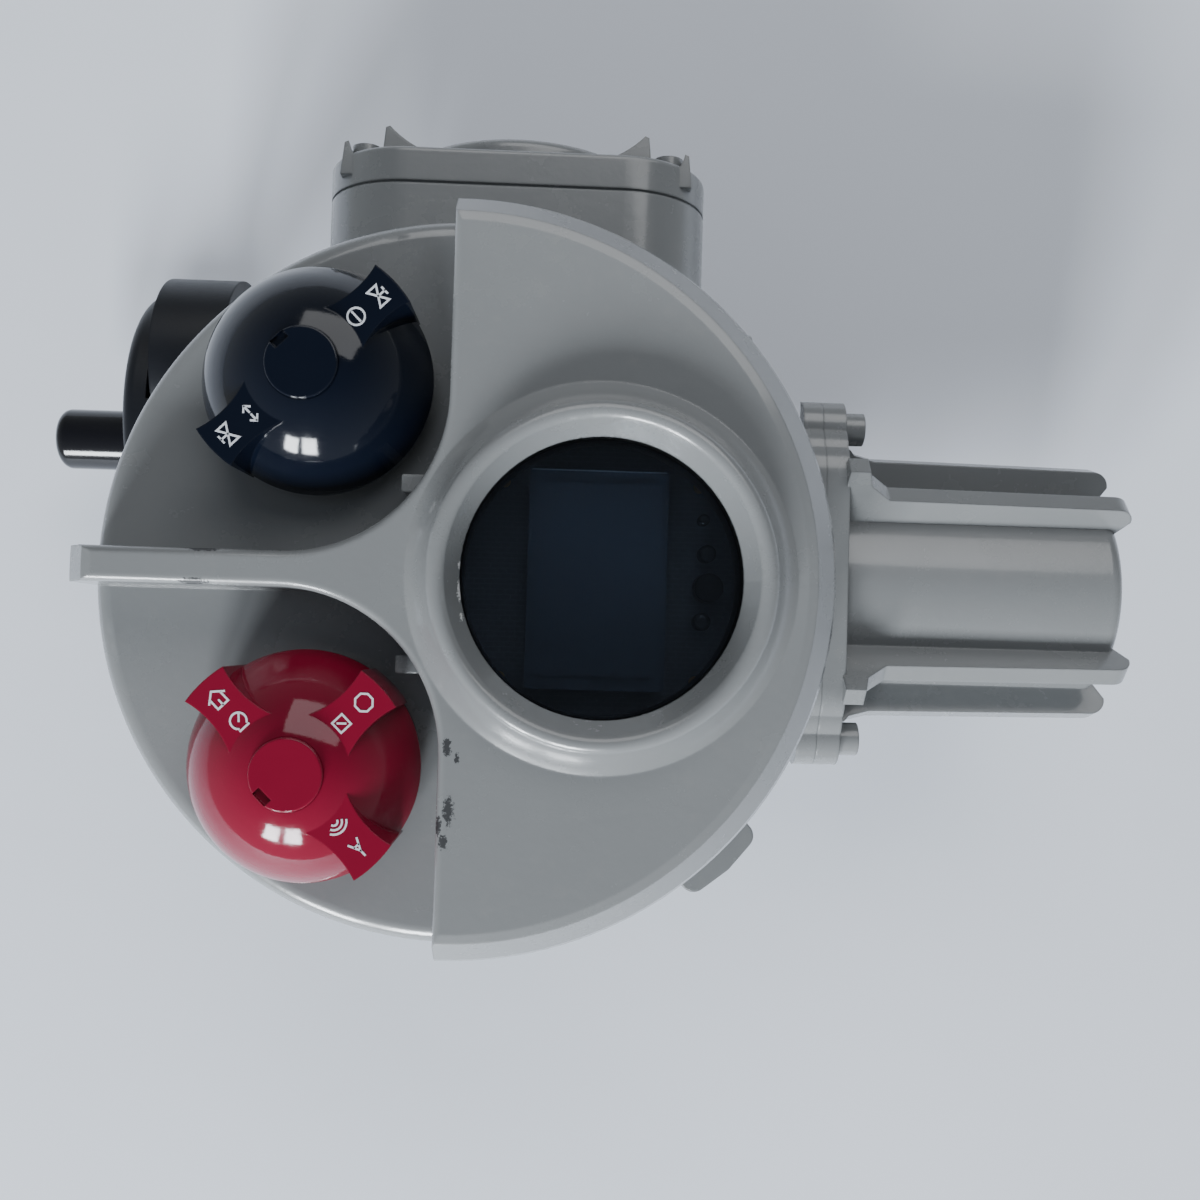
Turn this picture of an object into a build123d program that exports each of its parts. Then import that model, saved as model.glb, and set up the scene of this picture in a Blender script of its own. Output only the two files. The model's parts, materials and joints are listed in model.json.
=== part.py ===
from build123d import *
import math
import os

# Motorized quarter-turn valve actuator, millimetres.
# Origin: centre of the valve mounting face, on the output axis.
# +Z: up to the control panel.  +X: towards the motor.  +Y: towards the terminal box.

# ---- driving dimensions: gear housing -----------------------------------------------
WALL = 5.0                      # usual casting wall
CASE_R = 65.0                   # gear case around the worm wheel
CASE_CAVITY_R = 59.5
CASE_FLOOR_Z = 20.0
FLARE_Z = 84.0                  # the case widens from here up to the joint rim
PAN_FLOOR_Z = 96.0              # floor of the electronics pan
PAN_LEDGE_Z = 102.0             # ledge that carries the board posts
PAN_WIDE_Z = 108.0
RIM_Z = 104.0                   # underside of the joint rim
JOINT_Z = 118.0                 # joint plane between housing and control cover
PAN_R = 97.0
PAN_CAVITY_R = 86.0
BOARD_R = 78.0
SEAL_R = 89.0                   # outside of the joint seal
SEAL_WIDTH = 2.0
SEAL_DEPTH = 2.5
NECK_Y = 40.0                   # neck between gear case and terminal box
NECK_WIDTH = 80.0
NECK_HEIGHT = 84.0
VALVE_BOLTS_R = 51.0            # four M10 on 102, four M8 on 70
VALVE_BOLT_R = 4.25
SMALL_VALVE_BOLTS_R = 35.0
SMALL_VALVE_BOLT_R = 3.4
VALVE_BOLT_DEPTH = 14.0

# ---- driving dimensions: control cover and window -----------------------------------
COVER_X = -12.0                 # cover centre, on the X axis
COVER_R = 98.0
COVER_CAVITY_R = 87.0
PLATEAU_Z = 165.0
POCKET_Z = 141.0                # floor of the two knob pockets
POCKET_WALL_X = -14.5
POCKET_ARC_R = 41.0
RIM_R = 5.0                     # round rim of the pocket floors
ARM_HALF = 4.5                  # half width of the rib between the pockets
EDGE_R = 2.0                    # soft top edges of plateau and rib
EAR_PITCH_R = 93.5              # cover screws, from the cover centre
EAR_R = 8.0
EAR_T = 8.0
EAR_ANGLES = (45, 135, 225, 315)
COVER_SCREW_R = 3.0
LUG_ANGLE = -46.2               # long cast lug beside one cover screw
LUG_REACH = 112.0
LUG_HALF = 9.0
LUG_TIP_R = 4.0
LUG_T = 12.0
INDEX_X = -23.5                 # index blocks on the pocket walls
INDEX_Y = 23.0

WINDOW_X = 25.0
GLASS_R = 38.5
GLASS_TOP_Z = 163.5
GLASS_T = 7.0
WINDOW_R = 35.5                 # clear opening
BOSS_R = 44.0                   # window boss, outside of its throat
DISPLAY_POST_PITCH = 52.0

# ---- driving dimensions: selector knobs ---------------------------------------------
KNOB_X = -50.0
KNOB_Y = 50.0
KNOB_R = 30.0
KNOB_BASE_Z = 143.5
KNOB_EQUATOR_Z = 151.0
KNOB_SHOULDER_Z = 170.9
KNOB_TOP_Z = 172.0
KNOB_BORE = 23.0                # height of the hub bore
KNOB_CAP_R = 9.0
KNOB_PIN_R = 5.0
KNOB_PIN_DEPTH = 9.0            # length held in the cover
TAB_TOP_Z = 168.5
TAB_TIP_R = 30.5
TAB_TIP_HALF = 6.2
TAB_WAIST_HALF = 5.4
TAB_ROOT_HALF = 8.6
TAB_ROOT_X = 10.0
TAB_WAIST_X = 19.0
MAGNET_R = 3.0
MAGNET_SEAT_R = 5.0
MAGNET_REACH = 17.0

# ---- driving dimensions: gear train -------------------------------------------------
AXIS_Z = 75.0                   # worm, crank and motor axes are level
WORM_Y = 68.0
MOTOR_Y = 4.0
WORM_MODULE = 2.0
WHEEL_TEETH = 55
WHEEL_FACE = 12.0
WHEEL_BACKLASH = 0.62
WHEEL_HUB_R = 30.0
WHEEL_HUB_T = 4.0
WHEEL_WEB_R = 46.0
WHEEL_RECESS = 3.0
WORM_PITCH_R = 13.0
WORM_ROOT_R = WORM_PITCH_R - WORM_MODULE
WORM_LENGTH = 8 * math.pi * WORM_MODULE
WORM_SPACE_R = 16.5
WORM_SPACE_X = -50.0
WORM_SPACE_LENGTH = 92.0
SHAFT_R = 7.0
BUSH_R = SHAFT_R + 6.0
BUSH_LENGTH = 14.0
TUNNEL_R = 20.0                 # outside of the worm tunnel
TUNNEL_END_X = -78.0
SPUR_MODULE = 1.0
SPUR_BACKLASH = 0.25
PINION_TEETH = 16
IDLER_TEETH = 44
WORM_GEAR_TEETH = 24
SPUR_X = 63.5                   # near side of the spur gears
SPUR_FACE = 6.0
CHAMBER_BACK_X = 59.0
CHAMBER_FLOOR_X = 62.5
CHAMBER_X = 70.5                # joint of the gear chamber
LOBE_T = 3.0                    # thin part of the chamber plate
IDLER_PIN_R = 4.0
IDLER_PIN_X = 53.0
RUNNING = 0.05                  # radial clearance of running fits

SLEEVE_R = 20.0
SLEEVE_LOW_Z = 1.5
SLEEVE_BUSH_R = 24.0
STEM_R = 14.0                   # bore for the valve stem
STEM_DEPTH = 45.0
KEY_WIDTH = 8.0
STOP_X = 30.0                   # travel stop screws
STOP_SEAT_Y = -74.5
STOP_Z = 85.5
STOP_SCREW_R = 4.0
STOP_BOSS_R = 8.0
STOP_BOSS_LENGTH = 23.0
STOP_NUT_R = 6.4
SECTOR_R = 44.0
SECTOR_T = 8.0

# ---- driving dimensions: motor ------------------------------------------------------
SEAT_X = 92.5                   # motor flange joint
SEAT_HALF_Y = 44.0
SEAT_HALF_Z = 38.0
SEAT_CORNER_R = 12.0
FLANGE_T = 7.0
MOTOR_BOLT_Y = 47.5
MOTOR_BOLT_Z = 24.0
MOTOR_LUG_R = 8.0
MOTOR_SCREW_R = 3.0
PLATE_BOLTS = ((-32.0, 91.0), (-32.0, 59.0), (57.0, 96.0), (57.0, 54.0))
PLATE_LUG_R = 6.5
PLATE_SCREW_R = 2.5
PLATE_SCREW_LENGTH = 12.5
MOTOR_END_X = 185.5
MOTOR_WALL = 12.0               # end wall with the rear bearing
MOTOR_R = 33.0
MOTOR_BORE_R = 28.0
MOTOR_SHAFT_R = 5.0
ADAPTER_BORE_R = 14.0
REAR_BEARING_R = 9.0
RIB_ANGLES = (17, 50, 130, 163, 197, 230, 310, 343)
RIB_T = 6.0
RIB_R = 42.0
RIB_X = 98.5
RIB_LENGTH = 89.5
RIB_CORNER_R = 5.0
GUSSET_R = 53.0                 # diagonal ribs rise to the corners of the flange
SIDE_GUSSET_R = 45.5
STATOR_X = 120.0
STATOR_LENGTH = 40.0
STATOR_BORE_R = 21.5
ROTOR_R = 20.8
WINDING_LENGTH = 8.0

# ---- driving dimensions: terminal box -----------------------------------------------
BOX_X = -2.0
BOX_HALF_X = 57.8
BOX_LOW_Z = 12.0
BOX_HIGH_Z = 118.0
BOX_BACK_Y = 90.0
BOX_FLOOR_Y = 97.5
BOX_JOINT_Y = 116.0
BOX_WALL = 7.0
BOX_CORNER_R = 26.0
LID_GROOVE = 0.8                # visible seam under the lid
LID_TOP_Y = 127.0
LID_BOSS_Y = 136.0
LID_BOSS_R = 41.0
LID_EDGE_R = 1.5
LID_BOSS_EDGE_R = 3.0
LID_SPACE_R = 35.0
LID_SPACE_DEPTH = 14.0
LID_BOLT_X = 45.5
LID_BOLT_Z = 40.0
LID_BOLT_SEAT_Y = 124.5
LID_SCREW_R = 2.5
LID_SEAT_R = 5.5
FIN_T = 14.0
ENTRY_X = 24.0                  # cable entries
ENTRY_Y = 106.0
ENTRY_R = 8.0
STRIP_WAYS = 10
STRIP_PITCH = 8.0
STRIP_ROW = 12.0
STRIP_TOP_Y = 109.5

# ---- driving dimensions: crank ------------------------------------------------------
CRANK_FACE_X = -122.0
ARM_BACK_X = -111.0
CRANK_BACK_X = -89.0
CRANK_HUB_X = -82.0
CRANK_R = 28.5
CRANK_HUB_R = 12.0
CRANK_SKIRT = 4.0
CRANK_EDGE_R = 4.0
CRANK_KNOB_Y = 50.6
CRANK_KNOB_Z = 35.0
CRANK_DISC_R = 43.5
CRANK_DISC_Y = 53.5
CRANK_DISC_Z = 52.0
GRIP_R = 10.5
GRIP_EDGE_R = 3.5
GRIP_PIN_R = 4.0
GRIP_END_X = -163.3
GRIP_GAP = 0.5

# ---- driving dimensions: electronics ------------------------------------------------
MAIN_BOARD_Z = 120.0
BOARD_T = 1.6
POST_PITCH_R = 71.0
DISPLAY_BOARD_Z = 141.0
MAGNET_LIFT = 8.0

# ---- planes and small helpers -------------------------------------------------------
PANEL = Plane.XY.offset(JOINT_Z)
BOX_MID_Z = (BOX_LOW_Z + BOX_HIGH_Z) / 2
BOX_HEIGHT = BOX_HIGH_Z - BOX_LOW_Z
IDLER_Y = MOTOR_Y + SPUR_MODULE * (PINION_TEETH + IDLER_TEETH) / 2
LID_BOLTS = [(x, z) for x in (-LID_BOLT_X, LID_BOLT_X) for z in (-LID_BOLT_Z, LID_BOLT_Z)]
MOTOR_BOLTS = [(y, z) for y in (-MOTOR_BOLT_Y, MOTOR_BOLT_Y) for z in (-MOTOR_BOLT_Z, MOTOR_BOLT_Z)]
EAR_CENTRES = [
    (COVER_X + EAR_PITCH_R * math.cos(math.radians(a)), EAR_PITCH_R * math.sin(math.radians(a)))
    for a in EAR_ANGLES
]


def across_x(x, y=0.0, z=0.0):
    """Plane facing +X, its own x along +Y and its own y along +Z."""
    return Plane(origin=(x, y, z), x_dir=(0, 1, 0), z_dir=(1, 0, 0))


def across_y(y):
    """Plane facing +Y at the middle of the terminal box, its own y along +Z."""
    return Plane(origin=(BOX_X, y, BOX_MID_Z), x_dir=(-1, 0, 0), z_dir=(0, 1, 0))


def stop_plane(x):
    """Plane facing +Y at one of the two travel stop bosses."""
    return Plane(origin=(x, STOP_SEAT_Y, STOP_Z), x_dir=(-1, 0, 0), z_dir=(0, 1, 0))


WORM_AXIS = across_x(0, WORM_Y, AXIS_Z)
MOTOR_AXIS = across_x(0, MOTOR_Y, AXIS_Z)
IDLER_AXIS = across_x(0, IDLER_Y, AXIS_Z)


def save(part, name):
    part.part.label = name
    export_step(part.part, f"parts/{name}.step")


def ring(plane, outer_r, inner_r, length):
    """A plain bush, ring or washer that starts on the plane."""
    with BuildPart() as part:
        with BuildSketch(plane):
            Circle(outer_r)
            Circle(inner_r, mode=Mode.SUBTRACT)
        extrude(amount=length)
    return part


def gear_face(module, teeth, backlash, phase=0.0):
    """Spur gear outline with its first tooth at the phase angle (radians) from the x axis."""
    pitch_r = module * teeth / 2
    tip_r = pitch_r + 0.9 * module
    root_r = pitch_r - 1.2 * module
    half = math.pi * module / 4 - backlash
    points = []
    for tooth in range(teeth):
        middle = phase + 2 * math.pi * tooth / teeth
        for radius, side in ((root_r, -1.75), (pitch_r, -1.0), (tip_r, -0.45),
                             (tip_r, 0.45), (pitch_r, 1.0), (root_r, 1.75)):
            angle = middle + side * half / pitch_r
            points.append((radius * math.cos(angle), radius * math.sin(angle)))
    with BuildSketch(mode=Mode.PRIVATE) as outline:
        with BuildLine():
            Polyline(*points, close=True)
        make_face()
    return outline.sketch


def train_face(margin):
    """Outline round the three spur gears, a margin outside their pitch circles."""
    gears = ((MOTOR_Y, PINION_TEETH), (IDLER_Y, IDLER_TEETH), (WORM_Y, WORM_GEAR_TEETH))
    with BuildSketch(mode=Mode.PRIVATE) as face:
        for y, teeth in gears:
            with Locations((y, AXIS_Z)):
                Circle(SPUR_MODULE * teeth / 2 + margin)
    return face.sketch


def chamber_face():
    """Outside of the gear chamber at its joint, with the lugs of its plate screws."""
    with BuildSketch(mode=Mode.PRIVATE) as face:
        add(train_face(5.5))
        with Locations(*PLATE_BOLTS):
            Circle(PLATE_LUG_R)
    return face.sketch


def lug_face():
    """Motor flange outline about the motor axis, with a lug at each bolt."""
    with BuildSketch(mode=Mode.PRIVATE) as face:
        RectangleRounded(2 * SEAT_HALF_Y, 2 * SEAT_HALF_Z, SEAT_CORNER_R)
        with Locations(*MOTOR_BOLTS):
            Circle(MOTOR_LUG_R)
        with Locations(*[(y * 0.8, z) for y, z in MOTOR_BOLTS]):
            Circle(MOTOR_LUG_R + 3)
    return face.sketch


def cap_screws(planes, shank_r, shank, head_r, head):
    """Socket head screws: the head stands on each plane and the shank goes below it."""
    with BuildPart() as part:
        for plane in planes:
            with BuildSketch(plane):
                Circle(head_r)
            extrude(amount=head)
            with BuildSketch(plane):
                Circle(shank_r)
            extrude(amount=-shank)
            with BuildSketch(plane.offset(head)):
                RegularPolygon(head_r * 0.55, 6)
            extrude(amount=-head * 0.55, mode=Mode.SUBTRACT)
    return part


os.makedirs("parts", exist_ok=True)

# ---- gear housing -------------------------------------------------------------------
with BuildPart() as gear_housing:
    with BuildSketch(Plane.XY):
        Circle(CASE_R)
    extrude(amount=PAN_FLOOR_Z)
    fillet(gear_housing.edges().filter_by(GeomType.CIRCLE).group_by(Axis.Z)[0], 3)
    # flared pan that carries the electronics and the cover joint
    with BuildSketch(Plane.XY.offset(FLARE_Z)):
        Circle(CASE_R)
    with BuildSketch(Plane.XY.offset(RIM_Z)):
        with Locations((COVER_X, 0)):
            Circle(PAN_R)
    loft()
    with BuildSketch(Plane.XY.offset(RIM_Z)):
        with Locations((COVER_X, 0)):
            Circle(PAN_R)
        with Locations(*EAR_CENTRES):
            Circle(EAR_R)
    extrude(amount=JOINT_Z - RIM_Z)
    # long lug beside the joint
    with BuildSketch(Plane.XY.offset(RIM_Z)):
        with Locations(Location((COVER_X, 0), LUG_ANGLE)):
            with Locations((LUG_REACH - LUG_TIP_R - 1, LUG_HALF), (LUG_REACH - LUG_TIP_R, 0),
                           (LUG_REACH - LUG_TIP_R - 1, -LUG_HALF)):
                Circle(LUG_TIP_R)
            with Locations((PAN_R - 10, 0)):
                Circle(LUG_HALF + 5)
        make_hull()
    extrude(amount=LUG_T)
    # terminal box body and the neck that joins it to the gear case
    with BuildSketch(across_y(BOX_BACK_Y)):
        RectangleRounded(2 * BOX_HALF_X, BOX_HEIGHT, BOX_CORNER_R)
    extrude(amount=BOX_JOINT_Y - BOX_BACK_Y)
    with BuildSketch(across_y(NECK_Y)):
        RectangleRounded(NECK_WIDTH, NECK_HEIGHT, 10)
    extrude(amount=BOX_BACK_Y - NECK_Y)
    # worm tunnel, gear chamber wall and motor seat
    with BuildSketch(WORM_AXIS.offset(TUNNEL_END_X)):
        Circle(TUNNEL_R)
    extrude(amount=CHAMBER_BACK_X + 1 - TUNNEL_END_X)
    with BuildSketch(across_x(CHAMBER_BACK_X)):
        add(chamber_face())
        with Locations((MOTOR_Y, AXIS_Z)):
            RectangleRounded(2 * SEAT_HALF_Y, 2 * SEAT_HALF_Z, SEAT_CORNER_R)
    extrude(amount=CHAMBER_X - CHAMBER_BACK_X)
    with BuildSketch(MOTOR_AXIS.offset(40)):
        RectangleRounded(2 * SEAT_HALF_Y - 20, 2 * SEAT_HALF_Z - 12, SEAT_CORNER_R)
    extrude(amount=CHAMBER_X - 40)
    for x in (-STOP_X, STOP_X):
        with BuildSketch(stop_plane(x)):
            Circle(STOP_BOSS_R)
        extrude(amount=STOP_BOSS_LENGTH)

    # wheel cavity, opening through the pan in steps
    with BuildSketch(Plane.XY.offset(CASE_FLOOR_Z)):
        Circle(CASE_CAVITY_R)
    extrude(amount=PAN_FLOOR_Z - CASE_FLOOR_Z, mode=Mode.SUBTRACT)
    with BuildSketch(Plane.XY.offset(PAN_FLOOR_Z)):
        Circle(CASE_CAVITY_R + 2)
    extrude(amount=JOINT_Z - PAN_FLOOR_Z, mode=Mode.SUBTRACT)
    for level, radius in ((PAN_LEDGE_Z, BOARD_R), (PAN_WIDE_Z, PAN_CAVITY_R)):
        with BuildSketch(Plane.XY.offset(level)):
            with Locations((COVER_X, 0)):
                Circle(radius)
        extrude(amount=JOINT_Z - level, mode=Mode.SUBTRACT)
    # output bore with its bush seat
    with BuildSketch(Plane.XY):
        Circle(SLEEVE_BUSH_R)
    extrude(amount=CASE_FLOOR_Z, mode=Mode.SUBTRACT)
    # worm bore, bush seats, gear chamber and idler pin hole
    with BuildSketch(WORM_AXIS.offset(WORM_SPACE_X)):
        Circle(WORM_SPACE_R)
    extrude(amount=WORM_SPACE_LENGTH, mode=Mode.SUBTRACT)
    with BuildSketch(WORM_AXIS.offset(TUNNEL_END_X)):
        Circle(BUSH_R)
    extrude(amount=CHAMBER_FLOOR_X - TUNNEL_END_X, mode=Mode.SUBTRACT)
    with BuildSketch(across_x(CHAMBER_FLOOR_X)):
        add(train_face(2.5))
    extrude(amount=CHAMBER_X - CHAMBER_FLOOR_X, mode=Mode.SUBTRACT)
    with BuildSketch(IDLER_AXIS.offset(IDLER_PIN_X)):
        Circle(IDLER_PIN_R)
    extrude(amount=CHAMBER_FLOOR_X - IDLER_PIN_X, mode=Mode.SUBTRACT)
    # terminal chamber with a boss for each lid screw, and the cable entries
    with BuildSketch(across_y(BOX_FLOOR_Y)):
        RectangleRounded(2 * (BOX_HALF_X - BOX_WALL), BOX_HEIGHT - 2 * BOX_WALL, BOX_CORNER_R - BOX_WALL)
    extrude(amount=BOX_JOINT_Y - BOX_FLOOR_Y, mode=Mode.SUBTRACT)
    with BuildSketch(across_y(BOX_FLOOR_Y - 1)):
        with Locations(*LID_BOLTS):
            Circle(LID_SEAT_R + 1)
    extrude(amount=BOX_JOINT_Y - BOX_FLOOR_Y + 1)
    with BuildSketch(across_y(BOX_JOINT_Y)):
        with Locations(*LID_BOLTS):
            Circle(LID_SCREW_R)
    extrude(amount=-10, mode=Mode.SUBTRACT)
    with BuildSketch(Plane.XY.offset(BOX_LOW_Z)):
        with Locations((-ENTRY_X, ENTRY_Y), (ENTRY_X, ENTRY_Y)):
            Circle(ENTRY_R)
    extrude(amount=BOX_WALL, mode=Mode.SUBTRACT)
    # groove for the joint seal
    with BuildSketch(PANEL):
        with Locations((COVER_X, 0)):
            Circle(SEAL_R)
            Circle(SEAL_R - SEAL_WIDTH, mode=Mode.SUBTRACT)
    extrude(amount=-SEAL_DEPTH, mode=Mode.SUBTRACT)
    # threaded holes of the valve flange, the gear chamber and the travel stops
    with BuildSketch(Plane.XY):
        with PolarLocations(VALVE_BOLTS_R, 4, 45):
            Circle(VALVE_BOLT_R)
        with PolarLocations(SMALL_VALVE_BOLTS_R, 4, 0):
            Circle(SMALL_VALVE_BOLT_R)
    extrude(amount=VALVE_BOLT_DEPTH, mode=Mode.SUBTRACT)
    with BuildSketch(across_x(CHAMBER_X)):
        with Locations(*PLATE_BOLTS):
            Circle(PLATE_SCREW_R)
    extrude(amount=LOBE_T - PLATE_SCREW_LENGTH - 0.5, mode=Mode.SUBTRACT)
    for x in (-STOP_X, STOP_X):
        with BuildSketch(stop_plane(x)):
            Circle(STOP_SCREW_R)
        extrude(amount=STOP_BOSS_LENGTH + 8, mode=Mode.SUBTRACT)
    # clearance holes of the cover screws, each with a seat for its head
    with BuildSketch(Plane.XY.offset(RIM_Z)):
        with Locations(*EAR_CENTRES):
            Circle(COVER_SCREW_R + 0.3)
    extrude(amount=JOINT_Z - RIM_Z, mode=Mode.SUBTRACT)
    with BuildSketch(Plane.XY.offset(RIM_Z - 8)):
        with Locations(*EAR_CENTRES):
            Circle(COVER_SCREW_R + 3)
    extrude(amount=8, mode=Mode.SUBTRACT)
save(gear_housing, "gear_housing")

# ---- control cover ------------------------------------------------------------------
ARC_X = POCKET_WALL_X - POCKET_ARC_R
ARC_Y = ARM_HALF + POCKET_ARC_R
BEYOND = 130.0                  # safely outside the cover


def pocket_face(grow):
    """Both knob pockets: outside wall, quarter arc and rib edge, moved out by grow."""
    wall = POCKET_WALL_X + grow
    rib = ARM_HALF - grow
    arc_r = POCKET_ARC_R + grow
    middle = arc_r * math.sqrt(0.5)
    with BuildSketch(mode=Mode.PRIVATE) as pockets:
        with BuildLine():
            ThreePointArc((ARC_X, rib), (ARC_X + middle, ARC_Y - middle), (wall, ARC_Y))
            Polyline((wall, ARC_Y), (wall, BEYOND), (-BEYOND - 10, BEYOND), (-BEYOND - 10, rib),
                     (ARC_X, rib))
        make_face()
        mirror(about=Plane.XZ)
    return pockets.sketch


def from_cover_axis(edge):
    """Distance of an edge's middle from the axis of the cover."""
    middle = edge @ 0.5
    return math.hypot(middle.X - COVER_X, middle.Y)


COVER_AXIS = Axis((COVER_X, 0, 0), (0, 0, 1))
COVER_EDGE_X = COVER_X + COVER_R
with BuildPart() as control_cover:
    # plateau and rib as a prism with soft top edges, then turned to the outer form
    with BuildSketch(PANEL):
        with Locations((COVER_X, 0)):
            Circle(COVER_R + 30)
        add(pocket_face(0), mode=Mode.SUBTRACT)
    extrude(amount=PLATEAU_Z - JOINT_Z)
    top_edges = control_cover.edges().filter_by_position(Axis.Z, PLATEAU_Z - 0.1, PLATEAU_Z + 0.1)
    fillet(top_edges.filter_by(lambda e: from_cover_axis(e) < COVER_R + 25), EDGE_R)
    with BuildSketch(Plane.XZ):
        with BuildLine():
            Polyline((COVER_X, JOINT_Z), (COVER_EDGE_X, JOINT_Z), (COVER_EDGE_X, PLATEAU_Z - 10),
                     (COVER_EDGE_X - 1, PLATEAU_Z - 7.5), (COVER_EDGE_X - 6.5, PLATEAU_Z - 0.6),
                     (COVER_EDGE_X - 9, PLATEAU_Z), (COVER_X, PLATEAU_Z), close=True)
        make_face()
    revolve(axis=COVER_AXIS, mode=Mode.INTERSECT)
    with BuildSketch(PANEL):
        with Locations(*EAR_CENTRES):
            Circle(EAR_R)
    extrude(amount=EAR_T)
    # pocket floors with a round rim
    with BuildSketch(Plane.XZ):
        with BuildLine():
            Polyline((COVER_X, POCKET_Z), (COVER_X, JOINT_Z), (COVER_EDGE_X, JOINT_Z),
                     (COVER_EDGE_X, POCKET_Z - RIM_R))
            RadiusArc((COVER_EDGE_X, POCKET_Z - RIM_R), (COVER_EDGE_X - RIM_R, POCKET_Z), -RIM_R)
            Line((COVER_EDGE_X - RIM_R, POCKET_Z), (COVER_X, POCKET_Z))
        make_face()
    revolve(axis=COVER_AXIS)
    # window boss: dished skirt, rounded ridge and conical throat
    with BuildSketch(Plane(origin=(WINDOW_X, 0, PLATEAU_Z), x_dir=(1, 0, 0), z_dir=(0, -1, 0))):
        with BuildLine():
            Polyline((BOSS_R, -14), (BOSS_R, -1), (BOSS_R + 7, -1))
            ThreePointArc((BOSS_R + 7, -1), (BOSS_R + 2.2, 2.6), (BOSS_R - 0.8, 7.4))
            ThreePointArc((BOSS_R - 0.8, 7.4), (BOSS_R - 3, 9), (BOSS_R - 5.4, 7.8))
            Polyline((BOSS_R - 5.4, 7.8), (WINDOW_R, 0.5), (WINDOW_R, -14), (BOSS_R, -14))
        make_face()
    revolve(axis=Axis((WINDOW_X, 0, 0), (0, 0, 1)))
    # hollow: electronics space below the pockets and below the plateau
    with BuildSketch(PANEL):
        with Locations((COVER_X, 0)):
            Circle(COVER_CAVITY_R)
    extrude(amount=POCKET_Z - JOINT_Z - WALL, mode=Mode.SUBTRACT)
    with BuildSketch(Plane.XY.offset(POCKET_Z - WALL)):
        with Locations((COVER_X, 0)):
            Circle(COVER_CAVITY_R)
        add(pocket_face(WALL), mode=Mode.SUBTRACT)
        with Locations((WINDOW_X, 0)):
            Circle(BOSS_R, mode=Mode.SUBTRACT)
    extrude(amount=PLATEAU_Z - POCKET_Z, mode=Mode.SUBTRACT)
    with BuildSketch(Plane.XY.offset(POCKET_Z - WALL)):
        with Locations((WINDOW_X, 0)):
            Circle(BOSS_R)
    extrude(amount=PLATEAU_Z - 14 - POCKET_Z + WALL, mode=Mode.SUBTRACT)
    # window: clear opening and the seat that takes the glass from below
    with BuildSketch(Plane.XY.offset(POCKET_Z)):
        with Locations((WINDOW_X, 0)):
            Circle(WINDOW_R)
    extrude(amount=60, mode=Mode.SUBTRACT)
    with BuildSketch(Plane.XY.offset(POCKET_Z)):
        with Locations((WINDOW_X, 0)):
            Circle(GLASS_R + 0.4)
    extrude(amount=GLASS_TOP_Z + 0.5 - POCKET_Z, mode=Mode.SUBTRACT)
    # knob bosses, each with a blind hole for its pin
    with BuildSketch(Plane.XY.offset(POCKET_Z - 12)):
        with Locations((KNOB_X, KNOB_Y), (KNOB_X, -KNOB_Y)):
            Circle(12)
    extrude(amount=14)
    with BuildSketch(Plane.XY.offset(POCKET_Z - KNOB_PIN_DEPTH)):
        with Locations((KNOB_X, KNOB_Y), (KNOB_X, -KNOB_Y)):
            Circle(KNOB_PIN_R)
    extrude(amount=30, mode=Mode.SUBTRACT)
    # index blocks on the pocket walls
    with BuildSketch(Plane.XY.offset(POCKET_Z - 1)):
        with Locations((INDEX_X, INDEX_Y), (INDEX_X, -INDEX_Y)):
            RectangleRounded(6, 4.6, 0.6)
    extrude(amount=PLATEAU_Z - POCKET_Z - 6)
    # blind holes of the cover screws
    with BuildSketch(PANEL):
        with Locations(*EAR_CENTRES):
            Circle(COVER_SCREW_R)
    extrude(amount=5.5, mode=Mode.SUBTRACT)
save(control_cover, "control_cover")

# ---- window, seals and display ------------------------------------------------------
WINDOW = Plane(origin=(WINDOW_X, 0, 0))
RETAINER_Z = PLATEAU_Z - 18
RETAINER_T = 4.0
RETAINER_SCREW_R = 1.5
RETAINER_PITCH_R = 41.2
with BuildPart() as window_glass:
    with BuildSketch(WINDOW.offset(GLASS_TOP_Z - GLASS_T)):
        Circle(GLASS_R)
    extrude(amount=GLASS_T)
    chamfer(window_glass.edges().group_by(Axis.Z)[-1], 0.6)
save(window_glass, "window_glass")

save(ring(WINDOW.offset(GLASS_TOP_Z), GLASS_R - 0.6, WINDOW_R + 0.4, 0.5), "window_gasket")

with BuildPart() as window_retainer:
    with BuildSketch(WINDOW.offset(RETAINER_Z)):
        Circle(BOSS_R - 0.5)
        Circle(WINDOW_R, mode=Mode.SUBTRACT)
        with PolarLocations(RETAINER_PITCH_R, 6, 30):
            Circle(RETAINER_SCREW_R + 0.1, mode=Mode.SUBTRACT)
    extrude(amount=RETAINER_T)
    with BuildSketch(WINDOW.offset(RETAINER_Z + RETAINER_T)):
        Circle(GLASS_R - 0.2)
        Circle(WINDOW_R, mode=Mode.SUBTRACT)
    extrude(amount=GLASS_TOP_Z - GLASS_T - RETAINER_Z - RETAINER_T)
save(window_retainer, "window_retainer")

under_retainer = [
    Plane(origin=(WINDOW_X + RETAINER_PITCH_R * math.cos(math.radians(a)),
                  RETAINER_PITCH_R * math.sin(math.radians(a)), RETAINER_Z),
          x_dir=(1, 0, 0), z_dir=(0, 0, -1))
    for a in range(30, 390, 60)
]
save(cap_screws(under_retainer, RETAINER_SCREW_R, RETAINER_T - 0.1, 2.3, 1.8), "retainer_screws")

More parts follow.
